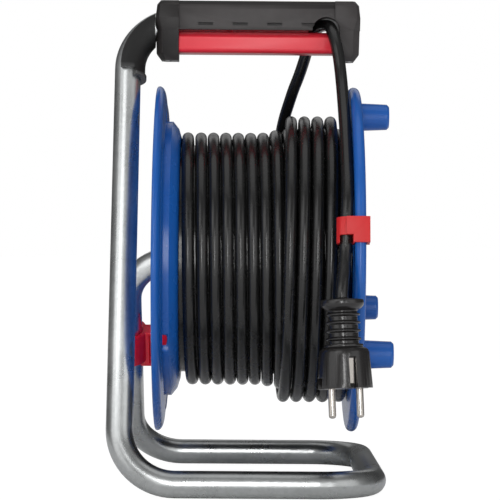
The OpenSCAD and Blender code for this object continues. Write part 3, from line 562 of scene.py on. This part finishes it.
@dataclass(frozen=True)
class Finish:
    """A finish: a shader group's values, and those of the shader that it feeds."""

    name: str
    color: tuple[float, float, float]
    second: tuple[float, float, float]
    roughness: float
    bump: float
    bump_depth: float = 0.0001
    metallic: float = 0.0
    specular: float = 0.5

    def values(self) -> dict[str, float | tuple]:
        """Values of the group's inputs."""
        raise NotImplementedError

    def group(self) -> bpy.types.NodeTree:
        """The shared effect that this finish is made with."""
        raise NotImplementedError

    def material(self) -> bpy.types.Material:
        """Builds the material, once.

        Returns:
            The material of this finish.
        """
        if self.name in bpy.data.materials:
            return bpy.data.materials[self.name]
        material = bpy.data.materials.new(self.name)
        material.use_nodes = True
        material.diffuse_color = (*self.color, 1.0)
        n = Wiring(material.node_tree)
        shader = material.node_tree.nodes["Principled BSDF"]
        shader.inputs["Metallic"].default_value = self.metallic
        shader.inputs["Specular IOR Level"].default_value = self.specular
        effect = n.add("ShaderNodeGroup", node_tree=self.group())
        for label, value in self.values().items():
            effect.inputs[label].default_value = value
        n.join(effect, "Color", shader, "Base Color")
        n.join(effect, "Roughness", shader, "Roughness")
        bump = n.add("ShaderNodeBump", {"Strength": self.bump, "Distance": self.bump_depth})
        n.join(effect, "Height", bump, "Height")
        n.join(bump, "Normal", shader, "Normal")
        return material


@dataclass(frozen=True)
class Moulded(Finish):
    """Injection-moulded plastic."""

    grain: float = 1800.0
    tone: float = 0.12
    wear: float = 0.25

    def group(self) -> bpy.types.NodeTree:
        """The moulded skin."""
        return Groups.moulded()

    def values(self) -> dict[str, float | tuple]:
        """Colours, roughness, grain, tone and wear."""
        return {"Color": (*self.color, 1.0), "Edge": (*self.second, 1.0), "Roughness": self.roughness,
                "Grain": self.grain, "Tone": self.tone, "Wear": self.wear}


@dataclass(frozen=True)
class Plated(Finish):
    """Zinc, nickel, steel or bare brass."""

    metallic: float = 1.0
    spangle: float = 420.0
    # Factor of the painted shade at the floor; 1 paints none.
    floor_shade: float = 1.0

    def group(self) -> bpy.types.NodeTree:
        """The zinc plate."""
        return Groups.zinc()

    def values(self) -> dict[str, float | tuple]:
        """The two tones, roughness, spangle and the painted shade's factor at the floor."""
        return {"Light": (*self.color, 1.0), "Dark": (*self.second, 1.0), "Roughness": self.roughness,
                "Spangle": self.spangle, "Floor shade": self.floor_shade}


@dataclass(frozen=True)
class Jacket(Finish):
    """A cable's rubber or plastic jacket."""

    dusty: float = 0.3

    def group(self) -> bpy.types.NodeTree:
        """The cable jacket."""
        return Groups.jacket()

    def values(self) -> dict[str, float | tuple]:
        """Colour, dust and roughness."""
        return {"Color": (*self.color, 1.0), "Dust": (*self.second, 1.0), "Roughness": self.roughness,
                "Dusty": self.dusty}


class Look(Enum):
    """The finishes of the reel."""

    # The zinc gets painted shade near the floor, down to 0.60 of its colour.
    ZINC = Plated("zinc_plate", (0.76, 0.78, 0.78), (0.62, 0.64, 0.64), 0.29, 0.006, floor_shade=0.60)
    HANDLE = Moulded("handle_plastic", (0.012, 0.0105, 0.0105), (0.09, 0.08, 0.08), 0.44, 0.16,
                     specular=0.3, grain=1500.0, tone=0.25, wear=0.6)
    COVER = Moulded("cover_plastic", (0.008, 0.008, 0.008), (0.16, 0.16, 0.16), 0.50, 0.24,
                    specular=0.3, grain=1300.0, tone=0.25, wear=0.8)
    BLUE = Moulded("drum_plastic", (0.008, 0.088, 0.36), (0.09, 0.25, 0.60), 0.26, 0.03,
                   specular=0.38, grain=700.0, tone=0.10, wear=0.15)
    RED = Moulded("signal_plastic", (0.66, 0.022, 0.040), (0.86, 0.20, 0.20), 0.36, 0.06,
                  grain=900.0, tone=0.12, wear=0.3)
    CLIP_RED = Moulded("clip_plastic", (0.50, 0.012, 0.014), (0.80, 0.16, 0.16), 0.42, 0.05,
                       specular=0.3, grain=900.0, tone=0.12, wear=0.3)
    # Painted light: the brake's red is set lighter than the guide bar's red to make up for the shade that it
    # sits in.
    BRAKE_RED = Moulded("brake_plastic_painted_light", (0.88, 0.010, 0.034), (0.94, 0.28, 0.32), 0.26, 0.05,
                        grain=900.0, tone=0.16, wear=0.3)
    CABLE = Jacket("cable_jacket", (0.006, 0.006, 0.006), (0.022, 0.021, 0.021), 0.24, 0.03, dusty=0.30)
    PLUG = Moulded("plug_plastic", (0.009, 0.008, 0.008), (0.08, 0.08, 0.08), 0.23, 0.08,
                   specular=0.55, grain=1600.0, tone=0.22, wear=0.4)
    PANEL = Moulded("panel_plastic", (0.030, 0.030, 0.032), (0.12, 0.12, 0.12), 0.42, 0.14,
                    grain=1600.0, tone=0.15, wear=0.4)
    NICKEL = Plated("nickel_plate", (0.52, 0.49, 0.46), (0.42, 0.39, 0.36), 0.13, 0.004, spangle=1500.0)
    SCREW = Plated("screw_steel", (0.66, 0.66, 0.66), (0.42, 0.42, 0.42), 0.34, 0.06, spangle=1200.0)
    BRASS = Plated("contact_brass", (0.78, 0.58, 0.27), (0.58, 0.40, 0.16), 0.30, 0.05, spangle=1200.0)
    BUSH = Moulded("bush_plastic", (0.70, 0.69, 0.65), (0.80, 0.80, 0.78), 0.42, 0.06,
                   grain=1400.0, tone=0.08, wear=0.1)
    GREY = Moulded("inner_grey_plastic", (0.13, 0.13, 0.135), (0.3, 0.3, 0.3), 0.45, 0.10,
                   grain=1400.0, tone=0.12, wear=0.2)

    def dress(self, *pieces: bpy.types.Object) -> None:
        """Gives this finish to pieces, in every material slot that they have.

        Args:
            *pieces: new pieces or the frame's nodes.
        """
        material = self.value.material()
        for piece in pieces:
            if not piece.material_slots:
                piece.data.materials.append(material)
            for slot in piece.material_slots:
                slot.material = material


# ---------------------------- pieces in the place of nodes


def stand_in(piece: bpy.types.Object, node: str, body: str) -> None:
    """Says which node a piece takes the place of and the body it rides on.

    Args:
        piece: the new piece.
        node: name of the frame's node.
        body: name of the body.
    """
    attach(piece, body)
    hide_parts(node)
    LOG.info("%s stands in for %s on %s", piece.name, node, body)


def moulding(node: bpy.types.Object, radius: float, look: Look, body: str) -> bpy.types.Object:
    """Makes a rounded moulding from a node, dresses it and puts it in the node's place.

    Args:
        node: the frame's node.
        radius: radius of the rounds, in millimetres.
        look: its finish.
        body: name of the body.

    Returns:
        The moulding.
    """
    piece = softened(node, node.name + "_moulded", radius)
    look.dress(piece)
    stand_in(piece, node.name, body)
    return piece


# ---------------------------- cable


def ease(u: Array) -> Array:
    """0 below 0, 1 above 1, and 3u^2 - 2u^3 between."""
    v = np.clip(u, 0.0, 1.0)
    return v * v * (3 - 2 * v)


@dataclass
class Cable:
    """The reel's one cable: the turns on the drum, and the free end over the handle."""

    radius: float = 4.1
    lower_radius: float = 84.0
    rise: float = 3.1
    step: float = 8.7
    rise_x: float = 5.0
    rise_length: float = 20.0
    first_x: float = -44.2
    shift: float = 0.45
    shift_turn: float = 0.45
    shift_length: float = 0.4
    lower_pitch: float = 8.63
    upper_pitch: float = 9.1
    upper_start: float = 55.0
    lower_turns: float = 12.0
    climb: float = 0.55
    dive: float = 0.35
    dive_depth: float = 19.5
    leave: float = 16 + 305 / 360
    turn_points: int = 84
    wound_sides: int = 20
    tail_start: float = 1.4
    tail_points: int = 6
    held_y: float = 20.0
    free_step: float = 1.6
    free_sides: int = 28
    free_route: tuple[Place, ...] = (
        (20, 73.6, 216.95), (20.1, 67.7, 225.1), (20.7, 60.6, 235.5), (21.9, 53.6, 246), (24, 47.2, 256),
        (27, 41.2, 266), (30.2, 35.8, 275.8), (33.8, 30.8, 285.2), (37.1, 26, 295.2), (40.1, 21.2, 305.8),
        (43.3, 15.9, 314.2), (47.2, 8.7, 318.0), (51.6, 0, 318.5), (54.2, -8.9, 316.6), (56, -16.3, 311),
        (58, -21.2, 303.4), (59.6, -24.6, 294.6), (60.8, -28.8, 284), (61.7, -35.6, 272),
        (62.3, -46.8, 258.5), (62.7, -62.5, 243.5), (62.9, -79, 227.5), (62.8, -90.7, 216),
        (62.7, -99.7, 206), (62.4, -105.8, 197), (62.1, -109, 190), (61.8, -110.7, 184),
        (61.5, -112.3, 175), (61.2, -113.7, 167), (60.9, -114.8, 162), (60.3, -117.6, 156),
        (59.7, -121.3, 150), (59, -125.2, 144), (58.4, -127.8, 139), (58.1, -129.2, 135),
        (58.2, -130, 130.6))

    def turns(self, t: Array) -> Array:
        """Points of the winding after t turns.

        The radius and X are those of the lower layer, which rises a little towards the front
        flange, then blend over the climb to the upper layer, which comes back. Before the first
        visible turn the cable dives under the layer. The point is
        (x, -r sin 2 pi t, axle + r cos 2 pi t).

        Args:
            t: turns from the first visible one.

        Returns:
            (n, 3) points.
        """
        shifted = self.shift * ease((t - self.shift_turn) / self.shift_length)
        lower_x = self.first_x + self.lower_pitch * np.maximum(0, t) + shifted
        upper_x = self.upper_start - self.upper_pitch * (t - self.lower_turns - 1)
        s = ease(t - self.lower_turns)
        x = (1 - s) * lower_x + s * upper_x
        dived = self.lower_radius - self.dive_depth * ease(-t / self.dive)
        lower_r = self.lower_radius + self.rise * ease((lower_x - self.rise_x) / self.rise_length)
        upper_r = self.lower_radius + self.rise + self.step * ease((t - self.lower_turns) / self.climb)
        r = np.where(t < 0, dived, np.where(t < self.lower_turns, lower_r, upper_r))
        a = 2 * np.pi * t
        return np.stack([x, -r * np.sin(a), AXLE_HEIGHT + r * np.cos(a)], axis=-1)

    def wound(self) -> bpy.types.Object:
        """The two outer layers of turns as one cable, with a straight tail where it leaves.

        Returns:
            The cable.
        """
        t = np.linspace(-self.dive, self.leave, int(self.turn_points * (self.leave + self.dive)))
        route = self.turns(t)
        way = unit(route[-1:] - route[-2:-1])
        tail = route[-1:] + way * np.linspace(self.tail_start, 2 * self.radius, self.tail_points)[:, None]
        return round_cable("wound_cable", np.vstack([route, tail]), self.radius, self.wound_sides)

    def free(self) -> tuple[bpy.types.Object, Array]:
        """The free cable, and the route that it follows.

        Returns:
            The cable, and its centreline in millimetres.
        """
        route = smooth_route(np.array(self.free_route, float), self.free_step)
        return round_cable("free_cable", route, self.radius, self.free_sides), route

    def make(self, nodes: dict[str, bpy.types.Object], plug: Sequence[bpy.types.Object]) -> None:
        """Args:
            nodes: the frame's nodes.
            plug: pieces that ride on the free cable; not used.
        """
        wound = self.wound()
        Look.CABLE.dress(wound, nodes["winding_core"], nodes["cable_tail"])
        stand_in(wound, "winding_turns", "drum")
        free, route = self.free()
        Look.CABLE.dress(free)
        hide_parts("mains_cable")
        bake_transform(free)


# ---------------------------- plug


@dataclass
class Plug:
    """The earthed plug: ribbed boot, moulded body, two pins and two earth strips."""

    top: Place = Cable.free_route[-1]
    lean: float = 5.7
    tilt: float = 2.5
    boot_length: float = 31.0
    body_length: float = 26.0
    body_round: float = 0.5
    pin_length: float = 19.0
    pin_radius: float = 2.4
    pin_spacing: float = 19.0
    pin_turn: float = 16.0
    pin_root: float = 7.8
    pin_rings: tuple[float, ...] = (8.0, 0.5)
    pin_sides: int = 28
    tip_length: float = 1.9
    tip_points: int = 10
    boot_sides: int = 64
    cable_radius: float = Cable.radius
    neck_foot: float = 2.6
    neck_top: float = 7.4
    neck_radius: float = 9.9
    neck_taper: float = 0.5
    neck_points: int = 110
    ribs: int = 4
    rib_height: float = 1.7
    rib_phase: float = 0.42
    fullness: float = 0.8

    def place(self, points: Array) -> Array:
        """Carries points from the plug's own frame, z up and 0 at the boot's top, to the reel's.

        Args:
            points: (n, 3) points on the plug's axis.

        Returns:
            (n, 3) points, leaned, tilted and moved to the cable's end.
        """
        tilted = Matrix.Rotation(math.radians(-self.tilt), 3, "Y")
        turn = tilted @ Matrix.Rotation(math.radians(-self.lean), 3, "X")
        return points @ np.array(turn).T + np.array(self.top)

    def boot(self) -> bpy.types.Object:
        """The boot: a wide flange with a dished top, a ribbed neck and a foot.

        The profile is (radius, height). Each rib is the upper half of a cosine wave, raised to a
        power that fills it out, on the neck's radius.

        Returns:
            The boot.
        """
        neck = np.linspace(self.neck_foot - self.boot_length, -self.neck_top, self.neck_points)
        along = (neck - neck[0]) / (neck[-1] - neck[0])
        wave = np.maximum(0.0, np.cos(2 * np.pi * (self.ribs * along + self.rib_phase))) ** self.fullness
        radius = self.neck_radius - self.neck_taper * along + self.rib_height * wave
        lower = [(0, -self.boot_length), (12.2, -self.boot_length), (12.6, -self.boot_length + 0.4),
                 (12.6, -self.boot_length + 1.9), (12.2, -self.boot_length + 2.3)]
        upper = [(10.6, -6.6), (12.6, -5.2), (13.7, -3.9), (14.0, -3.0), (14.0, -0.9), (13.6, -0.2),
                 (13.0, 0.0), (12.2, -0.1), (11.4, -0.9), (7.4, -1.3), (5.6, -0.9),
                 (self.cable_radius + 0.3, 0.0), (0, 0.0)]
        profile = np.vstack([lower, np.stack([radius, neck], axis=-1), upper])
        return turned("plug_boot_ribbed", profile, self.boot_sides, self.place)

    def pin(self, side: int) -> bpy.types.Object:
        """One pin: a shaft out of the body's face, with a rounded tip.

        The tip's profile is r = R (sin a)^p and h = h0 + tip (1 - cos a). The rings on the shaft
        keep its shading straight.

        Args:
            side: -1 for the left pin, 1 for the right one.

        Returns:
            The pin.
        """
        face = -self.boot_length - self.body_length
        r = self.pin_radius
        a = np.linspace(0, np.pi / 2, self.tip_points)
        rise = face - self.pin_length + self.tip_length * (1 - np.cos(a))
        tip = np.stack([r * np.sin(a) ** self.fullness, rise], axis=-1)
        root = face + self.pin_root
        shaft = np.array([*((r, face - out) for out in self.pin_rings), (r, root), (0, root)])
        angle = math.radians(self.pin_turn)
        off = side * self.pin_spacing / 2 * np.array([math.cos(angle), math.sin(angle), 0])
        name = "plug_pin_left" if side < 0 else "plug_pin_right"
        return turned(name, np.vstack([tip, shaft]), self.pin_sides, lambda p: self.place(p + off))

    def make(self, nodes: dict[str, bpy.types.Object]) -> list[bpy.types.Object]:
        """Builds and dresses the plug.

        Args:
            nodes: the frame's nodes.

        Returns:
            The pieces that hang on the cable.
        """
        boot = self.boot()
        Look.PLUG.dress(boot)
        stand_in(boot, "plug_boot", "frame")
        body = moulding(nodes["plug_body"], self.body_round, Look.PLUG, "frame")
        pins = [self.pin(-1), self.pin(1)]
        Look.NICKEL.dress(*pins, nodes["plug_earth_strips"])
        for pin in pins:
            stand_in(pin, "plug_pins", "frame")
        return [boot, body, *pins, nodes["plug_earth_strips"]]


@dataclass
class Clip:
    """The red clip: a sprung C round the cable, and a hook over the rim."""

    edge_round: float = 0.45

    def make(self, nodes: dict[str, bpy.types.Object]) -> bpy.types.Object:
        """Builds and dresses the clip.

        Args:
            nodes: the frame's nodes.

        Returns:
            The clip.
        """
        return moulding(nodes["cable_clip"], self.edge_round, Look.CLIP_RED, "frame")


# ---------------------------- frame and handle


@dataclass
class Handle:
    """Frame tube, grip, end blocks, bend cover, guide bar and brake."""

    block_round: float = 2.0
    grip_round: float = 1.0
    bar_round: float = 0.5
    brake_round: float = 0.7

    def make(self, nodes: dict[str, bpy.types.Object]) -> None:
        """Dresses the frame and softens its mouldings.

        Args:
            nodes: the frame's nodes.
        """
        Look.ZINC.dress(nodes["frame_tube"])
        Look.COVER.dress(nodes["bend_cover"])
        Look.SCREW.dress(nodes["handle_screws"], nodes["retaining_washer"], nodes["retaining_screw"])
        Look.HANDLE.dress(nodes["axle_end_plug"])
        moulding(nodes["handle_grip"], self.grip_round, Look.HANDLE, "frame")
        for end in (nodes["handle_end_left"], nodes["handle_end_right"]):
            moulding(end, self.block_round, Look.HANDLE, "frame")
        moulding(nodes["guide_bar"], self.bar_round, Look.RED, "frame")
        moulding(nodes["drum_brake"], self.brake_round, Look.BRAKE_RED, "drum_brake")


@dataclass
class Drum:
    """Flanges, barrel, sockets and what they hold."""

    rim_x: float = -65.5
    rim_radius: float = 120.0
    rim_inner: float = 104.0
    rim_nose: float = 8.0
    rim_tip: float = 1.5
    rim_lip: float = 4.4
    rim_back: Outline = ((-1.2, 0.0), (-0.3, 0.5))
    rim_crest: Outline = ((4.0, 0.6), (1.2, 1.2))
    slope: Outline = (
        (105.2, 6.5), (95.5, 6.5), (95.5, 11.0), (90.5, 15.0), (84.0, 17.0), (83.0, 17.0), (83.0, 14.0),
        (87.5, 12.0), (92.5, 9.0), (92.5, 3.5), (105.2, 3.5), (105.2, 0.9))
    nose_points: int = 14
    rim_sides: int = 240
    rim_angle: float = 30.0
    window_radius: float = 8.8
    window_start: float = -1.0
    window_depth: float = 10.4
    window_at: float = 100.12
    window_limit: float = 104.5
    window_sides: int = 40
    window_angles: tuple[float, ...] = (5.5, 125.5, 245.5)
    rim_round: float = 0.6
    stud_round: float = 0.5
    panel_round: float = 0.3

    def section(self) -> Array:
        """The rear rim's section: radii, and distances along the axle from its back.

        The inner side of the rim is a quarter of an ellipse from the tip: r = r0 + n cos t and
        x = tip + lip sin t, with n the depth of the nose. The crest joins it to the slope, which
        goes down to the web and comes back under itself. The back's points are set off from the
        outer radius, and the crest's from the inner radius and the lip.

        Returns:
            (n, 2) points, the first and the last the same.
        """
        t = np.linspace(0.0, np.pi / 2, self.nose_points)
        centre = self.rim_radius - self.rim_nose
        lip = self.rim_tip + self.rim_lip
        rise = self.rim_tip + self.rim_lip * np.sin(t)
        nose = np.stack([centre + self.rim_nose * np.cos(t), rise], axis=-1)
        back = [(self.rim_radius + r, x) for r, x in self.rim_back]
        crest = [(self.rim_inner + r, lip + x) for r, x in self.rim_crest]
        corner = [(self.rim_inner, 0.0)]
        return np.vstack([corner, back, nose, crest, self.slope, corner])

    def window(self, angle: float) -> bpy.types.Object:
        """The tool of one window: a prism along the axle, from behind the rim into its slope.

        Its outline is the circle r = at + R cos b, s = R sin b, drawn in to the limit's radius
        where it reaches beyond it. Its ends close in their middles.

        Args:
            angle: place of the window from the top towards the front, in degrees.

        Returns:
            The closed prism.
        """
        b = np.linspace(0, 2 * np.pi, self.window_sides, endpoint=False)
        out = self.window_at + self.window_radius * np.cos(b)
        side = self.window_radius * np.sin(b)
        drawn = np.minimum(1.0, self.window_limit / np.hypot(out, side))
        c, d = math.cos(math.radians(angle)), math.sin(math.radians(angle))
        y = -(out * d + side * c) * drawn
        z = AXLE_HEIGHT + (out * c - side * d) * drawn
        y0, z0 = float(y.mean()), float(z.mean())
        rings = [(self.window_start, 0.0), (self.window_start, 1.0), (self.window_depth, 1.0),
                 (self.window_depth, 0.0)]
        points = [np.stack([np.full(self.window_sides, self.rim_x + x), y0 + (y - y0) * m, z0 + (z - z0) * m],
                           axis=-1) for x, m in rings]
        tool = write_mesh("window", np.vstack(points), grid_faces(len(rings), self.window_sides, True))
        merge_doubles(tool)
        return tool

    def rim(self) -> bpy.types.Object:
        """The rear rim: its section (r, x) goes round the axle, and the windows are cut from it.

        The point at angle a is (x, -r sin a, axle + r cos a).

        Returns:
            The rim, with its edges rounded.
        """
        section = self.section()
        a = np.linspace(0, 2 * np.pi, self.rim_sides, endpoint=False)
        r, x = section[:, :1], section[:, 1:] + self.rim_x
        grid = np.stack([np.broadcast_to(x, (len(section), self.rim_sides)), -r * np.sin(a),
                         AXLE_HEIGHT + r * np.cos(a)], axis=-1)
        faces = grid_faces(len(section), self.rim_sides, True)
        piece = write_mesh("rear_rim_moulded", grid.reshape(-1, 3), faces)
        merge_doubles(piece)
        for angle in self.window_angles:
            cut(piece, self.window(angle))
        round_edges(piece, self.rim_round, self.rim_angle)
        return piece

    def make(self, nodes: dict[str, bpy.types.Object]) -> None:
        """Softens the drum's visible mouldings and dresses the rest.

        Args:
            nodes: the frame's nodes.
        """
        Look.BLUE.dress(nodes["rear_flange"], nodes["drum_barrel"])
        rim = self.rim()
        Look.BLUE.dress(rim)
        stand_in(rim, "rear_rim", "drum")
        moulding(nodes["front_flange"], self.rim_round, Look.BLUE, "drum")
        moulding(nodes["flange_studs"], self.stud_round, Look.BLUE, "drum")
        moulding(nodes["socket_panel"], self.panel_round, Look.PANEL, "drum")
        Look.PANEL.dress(nodes["cable_clamp"])
        Look.BRASS.dress(nodes["busbar_live"], nodes["busbar_neutral"], nodes["earth_busbar"],
                         nodes["earth_clips"])
        Look.GREY.dress(nodes["thermal_cutout"])
        Look.RED.dress(nodes["reset_button"])
        Look.BUSH.dress(nodes["terminal_block"], nodes["hub_bush_rear"], nodes["hub_bush_front"])
        Look.SCREW.dress(nodes["rear_flange_screws"], nodes["front_flange_screws"], nodes["panel_screws"])


# ---------------------------- studio


@dataclass(frozen=True)
class SoftBox:
    """A rectangular lamp: its place and what it faces, its sides in metres, its power in watts."""

    name: str
    at: Place
    width: float
    height: float
    power: float
    aim: Place = (0.0, 0.0, 170.0)


@dataclass
class Studio:
    """Camera, floor and soft lights."""

    camera_at: Place = (-9.9, -1600.0, 175.4)
    yaw: float = 0.34
    pitch: float = 0.51
    roll: float = 0.4
    lens: float = 164.6
    lamps: tuple[SoftBox, ...] = (
        SoftBox("left_box", (-1150, -900, 520), 1.0, 1.2, 3.6),
        SoftBox("right_box", (1150, -950, 520), 1.0, 1.2, 3.0),
        SoftBox("front_box", (-640, -1230, 1120), 0.75, 0.8, 2.4),
        SoftBox("front_strip", (-60, -1650, 330), 0.20, 0.9, 7.2),
        SoftBox("right_strip", (520, -1400, 330), 0.12, 0.9, 1.6),
        SoftBox("overhead", (0, -100, 1350), 1.3, 1.0, 2.6, (0.0, 0.0, 150.0)),
        SoftBox("rear", (0, 1300, 900), 1.2, 0.6, 1.2))
    ambient: float = 0.50
    near_way: float = -0.9
    far_way: float = 0.6
    near_room: float = 0.42
    far_room: float = 0.08
    floor_reach: float = 12.0
    floor_tone: float = 0.93
    floor_glow: float = 1.12
    glow_share: float = 0.85

    def camera(self) -> None:
        """Places the camera at the viewing angle."""
        data = bpy.data.cameras.new("camera")
        data.lens = self.lens
        data.sensor_width = 36.0
        data.clip_start, data.clip_end = 0.05, 50.0
        camera = bpy.data.objects.new("camera", data)
        bpy.context.scene.collection.objects.link(camera)
        turn = (Matrix.Rotation(math.radians(-self.yaw), 4, "Z")
                @ Matrix.Rotation(math.radians(90 - self.pitch), 4, "X")
                @ Matrix.Rotation(math.radians(self.roll), 4, "Z"))
        camera.matrix_world = Matrix.Translation([v * MM for v in self.camera_at]) @ turn
        bpy.context.scene.camera = camera

    def floor(self) -> None:
        """Lays the pale floor, which keeps the shadow and shows as white behind the reel."""
        mesh = bpy.data.meshes.new("floor")
        s = self.floor_reach
        mesh.from_pydata([(-s, -s, 0), (s, -s, 0), (s, s, 0), (-s, s, 0)], [], [(0, 1, 2, 3)])
        floor = bpy.data.objects.new("floor", mesh)
        bpy.context.scene.collection.objects.link(floor)
        material = bpy.data.materials.new("studio_floor")
        material.use_nodes = True
        n = Wiring(material.node_tree)
        shader = material.node_tree.nodes["Principled BSDF"]
        shader.inputs["Base Color"].default_value = (*[self.floor_tone] * 3, 1)
        shader.inputs["Roughness"].default_value = 0.7
        shader.inputs["Specular IOR Level"].default_value = 0.1
        glow = n.add("ShaderNodeEmission", {"Strength": self.floor_glow})
        glow.inputs["Color"].default_value = (1, 1, 1, 1)
        ray = n.add("ShaderNodeLightPath")
        mix = n.add("ShaderNodeMixShader")
        share = n.math("MULTIPLY", n.out(ray, "Is Camera Ray"), self.glow_share)
        n.link(share, mix.inputs[0])
        n.link(shader.outputs[0], mix.inputs[1])
        n.link(glow.outputs[0], mix.inputs[2])
        n.link(mix.outputs[0], material.node_tree.nodes["Material Output"].inputs["Surface"])
        mesh.materials.append(material)

    def backdrop(self) -> None:
        """Sets the world: white to the camera, soft light on the reel, and a room in reflections.

        The room's strength goes from near to far with the Y of the way that a reflection looks.
        """
        world = bpy.data.worlds.new("studio")
        bpy.context.scene.world = world
        world.use_nodes = True
        n = Wiring(world.node_tree)
        shade = world.node_tree.nodes["Background"]
        shade.inputs["Color"].default_value = (1, 1, 1, 1)
        ray = n.add("ShaderNodeLightPath")
        way = n.add("ShaderNodeSeparateXYZ")
        n.join(n.add("ShaderNodeTexCoord"), "Generated", way, "Vector")
        room = n.add("ShaderNodeMapRange", {"From Min": self.near_way, "From Max": self.far_way,
                                            "To Min": self.near_room, "To Max": self.far_room})
        n.join(way, "Y", room, "Value")
        change = n.math("SUBTRACT", n.out(room, 0), self.ambient)
        glossy = n.math("MULTIPLY", n.out(ray, "Is Glossy Ray"), change)
        seen = n.math("MAXIMUM", n.out(ray, "Is Camera Ray"), n.out(ray, "Is Transmission Ray"))
        lit = n.math("ADD", n.math("MULTIPLY", seen, 1.0 - self.ambient), self.ambient)
        n.link(n.math("ADD", lit, glossy), shade.inputs["Strength"])

    def lights(self) -> None:
        """Hangs the soft boxes."""
        for box in self.lamps:
            data = bpy.data.lights.new(box.name, "AREA")
            data.shape = "RECTANGLE"
            data.size = box.width
            data.size_y = box.height
            data.energy = box.power
            lamp = bpy.data.objects.new(box.name, data)
            bpy.context.scene.collection.objects.link(lamp)
            here, there = np.array(box.at) * MM, np.array(box.aim) * MM
            back = unit(here - there)
            right = unit(np.cross([0.0, 0.0, 1.0], back))
            turn = np.eye(4)
            turn[:3] = np.stack([right, np.cross(back, right), back, here], axis=-1)
            lamp.matrix_world = Matrix(turn.tolist())

    def make(self) -> None:
        """Sets up the studio."""
        scene = bpy.context.scene
        scene.view_settings.view_transform = "Standard"
        self.camera()
        self.floor()
        self.backdrop()
        self.lights()


def main() -> None:
    """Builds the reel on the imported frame."""
    logging.basicConfig(level=logging.INFO, format="%(name)s: %(message)s")
    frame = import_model()
    nodes = frame["nodes"]
    Studio().make()
    clip = Clip().make(nodes)
    plug = Plug().make(nodes)
    Cable().make(nodes, [clip, *plug])
    Handle().make(nodes)
    Drum().make(nodes)


if __name__ == "__main__":
    main()
